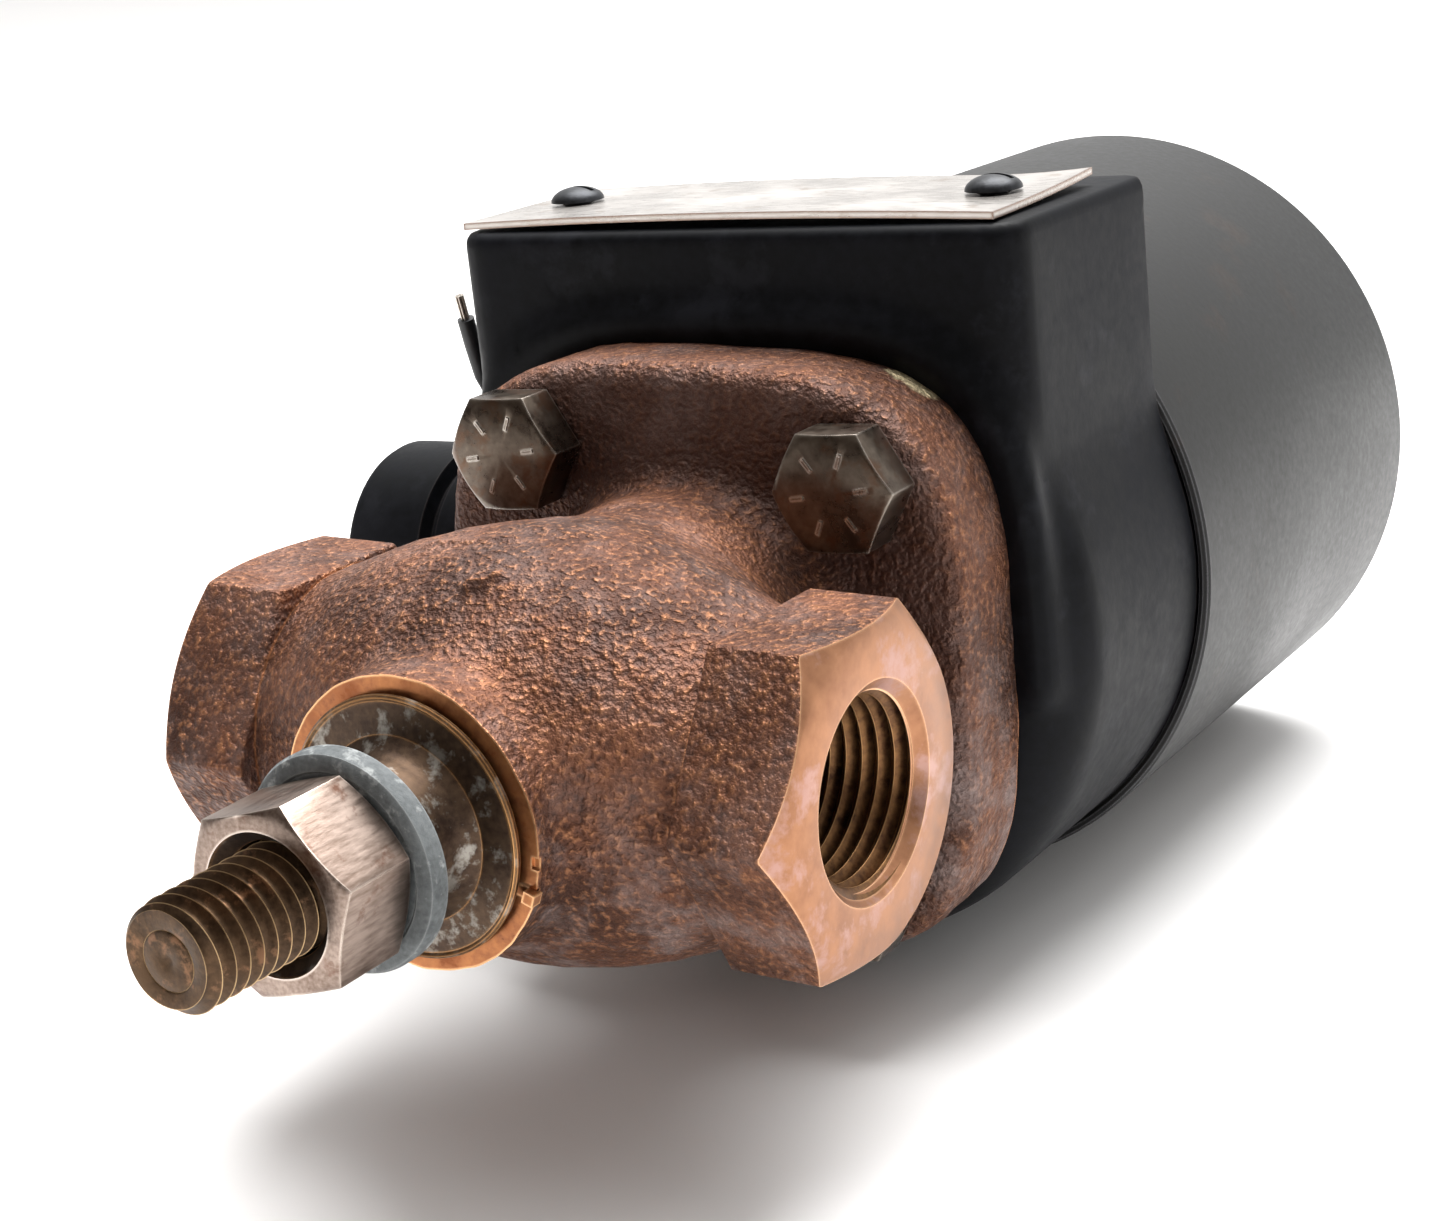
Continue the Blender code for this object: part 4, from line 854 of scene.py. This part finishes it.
def can():
    """The drawn coil cover, with the washer and nut on the stud at its end."""
    radius, inner = CAN_RADIUS, CAN_RADIUS - CAN_WALL
    made = turned("coil_cover", [
        (STUD_HOLE, CAN_TOP), (radius - 2.6, CAN_TOP), (radius - 1.2, CAN_TOP - 0.4),
        (radius - 0.4, CAN_TOP - 1.2), (radius, CAN_TOP - 2.6), (radius, CAN_FRONT + 0.5),
        (radius - 0.3, CAN_FRONT + 0.1), (radius - 0.9, CAN_FRONT), (inner, CAN_FRONT + 0.4),
        (inner, CAN_TOP - CAN_WALL), (STUD_HOLE, CAN_TOP - CAN_WALL)], "can_enamel", steps=192)
    settle(made, "valve", "can_enamel", "coil_can")
    washer_low = CAN_TOP + GAP
    washer_top = washer_low + STUD_WASHER_THICKNESS
    outer, flat = STUD_WASHER_RADIUS, STUD_WASHER_RADIUS - 0.2
    washer = turned("stud_washer", [
        (STUD_HOLE, washer_low), (flat, washer_low), (outer, washer_low + 0.2),
        (outer, washer_top - 0.2), (flat, washer_top), (STUD_HOLE, washer_top)], "nickel_plate")
    settle(washer, "valve", "nickel_plate", "end_washer")
    low, high = washer_top + GAP, washer_top + STUD_NUT_HEIGHT
    nut = prism("stud_nut", 6, BOLT_FLATS / math.sqrt(3), low, high, "nickel_plate")
    rims = turned("stud_nut_rims", [(0.0, high), (6.2, high), (7.6, high - 1.0), (7.6, low),
            (0.0, low)], "nickel_plate")
    carve(nut, rims, operation="INTERSECT")
    soften(nut, 0.2)
    hole = turned("stud_nut_hole", rod(STUD_RADIUS, low - 1, high + 1), "nickel_plate", steps=32)
    carve(nut, hole)
    settle(nut, "valve", "nickel_plate", "end_nut")


def plate():
    """The bowed nameplate, its rear right corner bent up a little."""
    columns, rows = PLATE_COLUMNS, PLATE_ROWS
    points, faces = [], []
    middle, half = sum(PLATE_X) / 2, (PLATE_X[1] - PLATE_X[0]) / 2
    for layer in (0.0, PLATE_THICKNESS):
        for column in range(columns + 1):
            for row in range(rows + 1):
                x = PLATE_X[0] + 2 * half * column / columns
                z = PLATE_Z[0] + (PLATE_Z[1] - PLATE_Z[0]) * row / rows
                bow = PLATE_BOW * (1 - ((x - middle) / half) ** 2)
                past = max(0.0, (column / columns - PLATE_CURL_START) / 0.2)
                curl = PLATE_CURL * past ** 2 * (row / rows) ** 2
                points.append((x, -BLOCK_TOP - GAP - bow - curl - layer, z))

    def corner(layer, column, row):
        return layer * (columns + 1) * (rows + 1) + column * (rows + 1) + row

    for layer in (0, 1):
        for column in range(columns):
            for row in range(rows):
                faces.append((corner(layer, column, row), corner(layer, column + 1, row),
                        corner(layer, column + 1, row + 1), corner(layer, column, row + 1)))
    for column in range(columns):
        for row in (0, rows):
            faces.append((corner(0, column, row), corner(0, column + 1, row),
                    corner(1, column + 1, row), corner(1, column, row)))
    for row in range(rows):
        for column in (0, columns):
            faces.append((corner(0, column, row), corner(0, column, row + 1),
                    corner(1, column, row + 1), corner(1, column, row)))
    made = from_points("rating_plate", points, faces, "aluminium_plate")
    for x in (-SCREW_X, SCREW_X):
        hole = turned(f"plate_hole_{x}", rod(SCREW_HOLE, 44.0, 52.0), "aluminium_plate",
                steps=24)
        carve(made, shift(rotate(hole, 90, "X"), x=x, z=SCREW_Z))
    settle(turn_housing(made), "valve", "aluminium_plate", "nameplate")


def plate_screws():
    """Two slotted dome-head screws through the nameplate."""
    seat = BLOCK_TOP + PLATE_BOW + PLATE_THICKNESS + GAP
    dome = [(SCREW_RADIUS * math.sin(math.radians(a)),
            seat + SCREW_DOME * math.cos(math.radians(a))) for a in range(0, 91, 10)]
    for number, x in enumerate((-SCREW_X, SCREW_X), 1):
        shank = [(SCREW_SHANK, seat), (SCREW_SHANK, SCREW_END), (0.0, SCREW_END)]
        made = turned(f"plate_screw_{number}", [*dome, *shank], "blackened_steel", steps=48)
        slot_cutter = prism(f"screw_slot_{number}", 4, 5.0, seat + 1.1, seat + 3.0,
                "blackened_steel", turn=45)
        slot_cutter.data.transform(Matrix.Diagonal((1.0, 0.11, 1.0, 1.0)))
        carve(made, slot_cutter)
        shift(rotate(made, 90, "X"), x=x, z=SCREW_Z)
        settle(turn_housing(made), "valve", "blackened_steel", f"nameplate_screw_{number}")


# --- Leads ---

LEAD_ROUTES = {
    "coil_lead_1": [(-33, -1.5, 54), (-45, -1, 54), (-56, -0.5, 54.5), (-62.5, -1, 57.5),
                    (-65, -2.2, 64), (-64.3, -2.6, 71), (-62, -3, 78), (-60.5, -4.5, 85),
                    (-58.5, -9, 93), (-56, -15, 100), (-52, -20.5, 104), (-48, -23, 101),
                    (-46.3, -22, 94), (-45.4, -19, 86), (-45, -16.6, 77), (-44.8, -16.2, 69),
                    (-44.8, -17.6, 61), (-45, -20.8, 55.5), (-45, -25.5, 52.4),
                    (-45, -33, 50.1)],
    "coil_lead_2": [(-33, 3.5, 54), (-45, 4, 54), (-56, 4.2, 54.5), (-62, 3.6, 57.5),
                    (-64.6, 2.4, 64), (-64, 1.5, 72), (-62, 0.8, 80), (-60, -0.8, 89),
                    (-57.5, -4, 98), (-55, -9, 106), (-51.5, -14, 111), (-48, -17, 110),
                    (-46, -17, 103), (-45.2, -14.8, 94), (-45, -12.6, 86), (-45, -11.9, 77)],
}


def smooth(route, spacing=4.2):
    """Points along a Catmull-Rom curve through the route."""
    ends = [route[0], *route, route[-1]]
    points = []
    for before, first, last, after in zip(ends, ends[1:], ends[2:], ends[3:]):
        count = max(1, round(math.dist(first, last) / spacing))
        for step in range(count):
            t = step / count
            points.append([0.5 * (2 * b + (c - a) * t + (2 * a - 5 * b + 4 * c - d) * t ** 2
                           + (3 * b - a - 3 * c + d) * t ** 3)
                    for a, b, c, d in zip(before, first, last, after)])
    return [*points, list(route[-1])]


def leads():
    """The two coil leads as cords, each with its stripped end."""
    for number, (name, route) in enumerate(LEAD_ROUTES.items(), 1):
        points = [LAY_DOWN @ Vector(point) for point in smooth(route)]
        curve = bpy.data.curves.new(name, "CURVE")
        curve.dimensions = "3D"
        curve.bevel_depth = LEAD_RADIUS * MM
        curve.bevel_resolution = 4
        curve.use_fill_caps = True
        spline = curve.splines.new("POLY")
        spline.points.add(len(points) - 1)
        for point, place in zip(spline.points, points):
            point.co = (*place, 1)
        spline.use_smooth = True
        curve.materials.append(FINISH["lead_insulation"])
        lead = place_object(name, curve)
        declare(lead, "valve", "lead_insulation", f"lead_wire_{number}")
        strands = stripped_end(f"lead_strands_{number}", route)
        settle(strands, "valve", "tinned_copper", f"lead_core_{number}")


def stripped_end(name, route):
    """Seven tinned strands standing straight out of the insulation."""
    strand = turned(name + "_strand", rod(STRAND_RADIUS, -0.8, LEAD_BARE), "tinned_copper",
            steps=10)
    ring = STRAND_SPACING * STRAND_RADIUS
    spots = [(0.0, 0.0, 0.0), *[(ring * math.cos(math.radians(60 * n)),
            ring * math.sin(math.radians(60 * n)), 0.0) for n in range(6)]]
    made = repeat_on_points(name, strand, spots, "tinned_copper")
    points = [Vector(point) for point in smooth(route)]
    way = (points[-1] - points[-2]).normalized()
    turn = way.to_track_quat("Z", "Y").to_matrix().to_4x4()
    made.data.transform(Matrix.Translation(points[-1]) @ turn)
    return made


# --- Assembly ---

leads()
valve_casting()
stem_pieces()
flange_bolts()
housing()
hub()
can()
plate()
plate_screws()

# The solids that stay on show take the finish of their slot.
for subpart in frame["record"]["subparts"]:
    node = frame["nodes"][subpart["node"]]
    node.data.materials.clear()
    node.data.materials.append(FINISH[subpart["material_slot"]])


# --- Floor, light and world ---

def area_light(name, place, target, size, power):
    data = bpy.data.lights.new(name, "AREA")
    data.shape, data.size, data.energy = "DISK", size, power
    made = place_object(name, data)
    made.location = place
    made.rotation_euler = (Vector(target) - Vector(place)).to_track_quat("-Z", "Y").to_euler()


def studio():
    """A white sweep under soft overhead light."""
    mesh = bpy.data.meshes.new("floor")
    reach = 6.0
    mesh.from_pydata([(-reach, -reach, 0), (reach, -reach, 0), (reach, reach, 0),
            (-reach, reach, 0)], [], [(0, 1, 2, 3)])
    floor = place_object("floor", mesh)
    paint = bpy.data.materials.new("matt_white_sweep")
    paint.use_nodes = True
    shader = paint.node_tree.nodes["Principled BSDF"]
    shader.inputs["Base Color"].default_value = linear("#f4f3f2")
    shader.inputs["Roughness"].default_value = 0.7
    shader.inputs["Specular IOR Level"].default_value = 0.1
    mesh.materials.append(paint)
    world = bpy.data.worlds.new("studio")
    world.use_nodes = True
    sky = world.node_tree
    way = add(sky, "ShaderNodeTexCoord").outputs["Generated"]
    towards = add(sky, "ShaderNodeVectorMath", {0: way, 1: (0.15, 0.9, 0.4)},
            operation="DOT_PRODUCT").outputs["Value"]
    share = add(sky, "ShaderNodeMapRange", {"Value": towards, "From Min": -0.4,
            "From Max": 0.6}).outputs[0]
    shade = add(sky, "ShaderNodeMix", {0: share, 6: linear("#6b625b"), 7: linear("#ffffff")},
            data_type="RGBA").outputs[2]
    sky.links.new(shade, sky.nodes["Background"].inputs["Color"])
    sky.nodes["Background"].inputs["Strength"].default_value = 1.0
    bpy.context.scene.world = world
    area_light("overhead", (0.0, 0.3, 0.95), (0, 0, 0.04), 0.9, 21.0)
    area_light("ceiling", (0.0, 1.2, 3.0), (0, 1.2, 0), 5.0, 70.0)
    bpy.context.scene.view_settings.view_transform = "Standard"


studio()
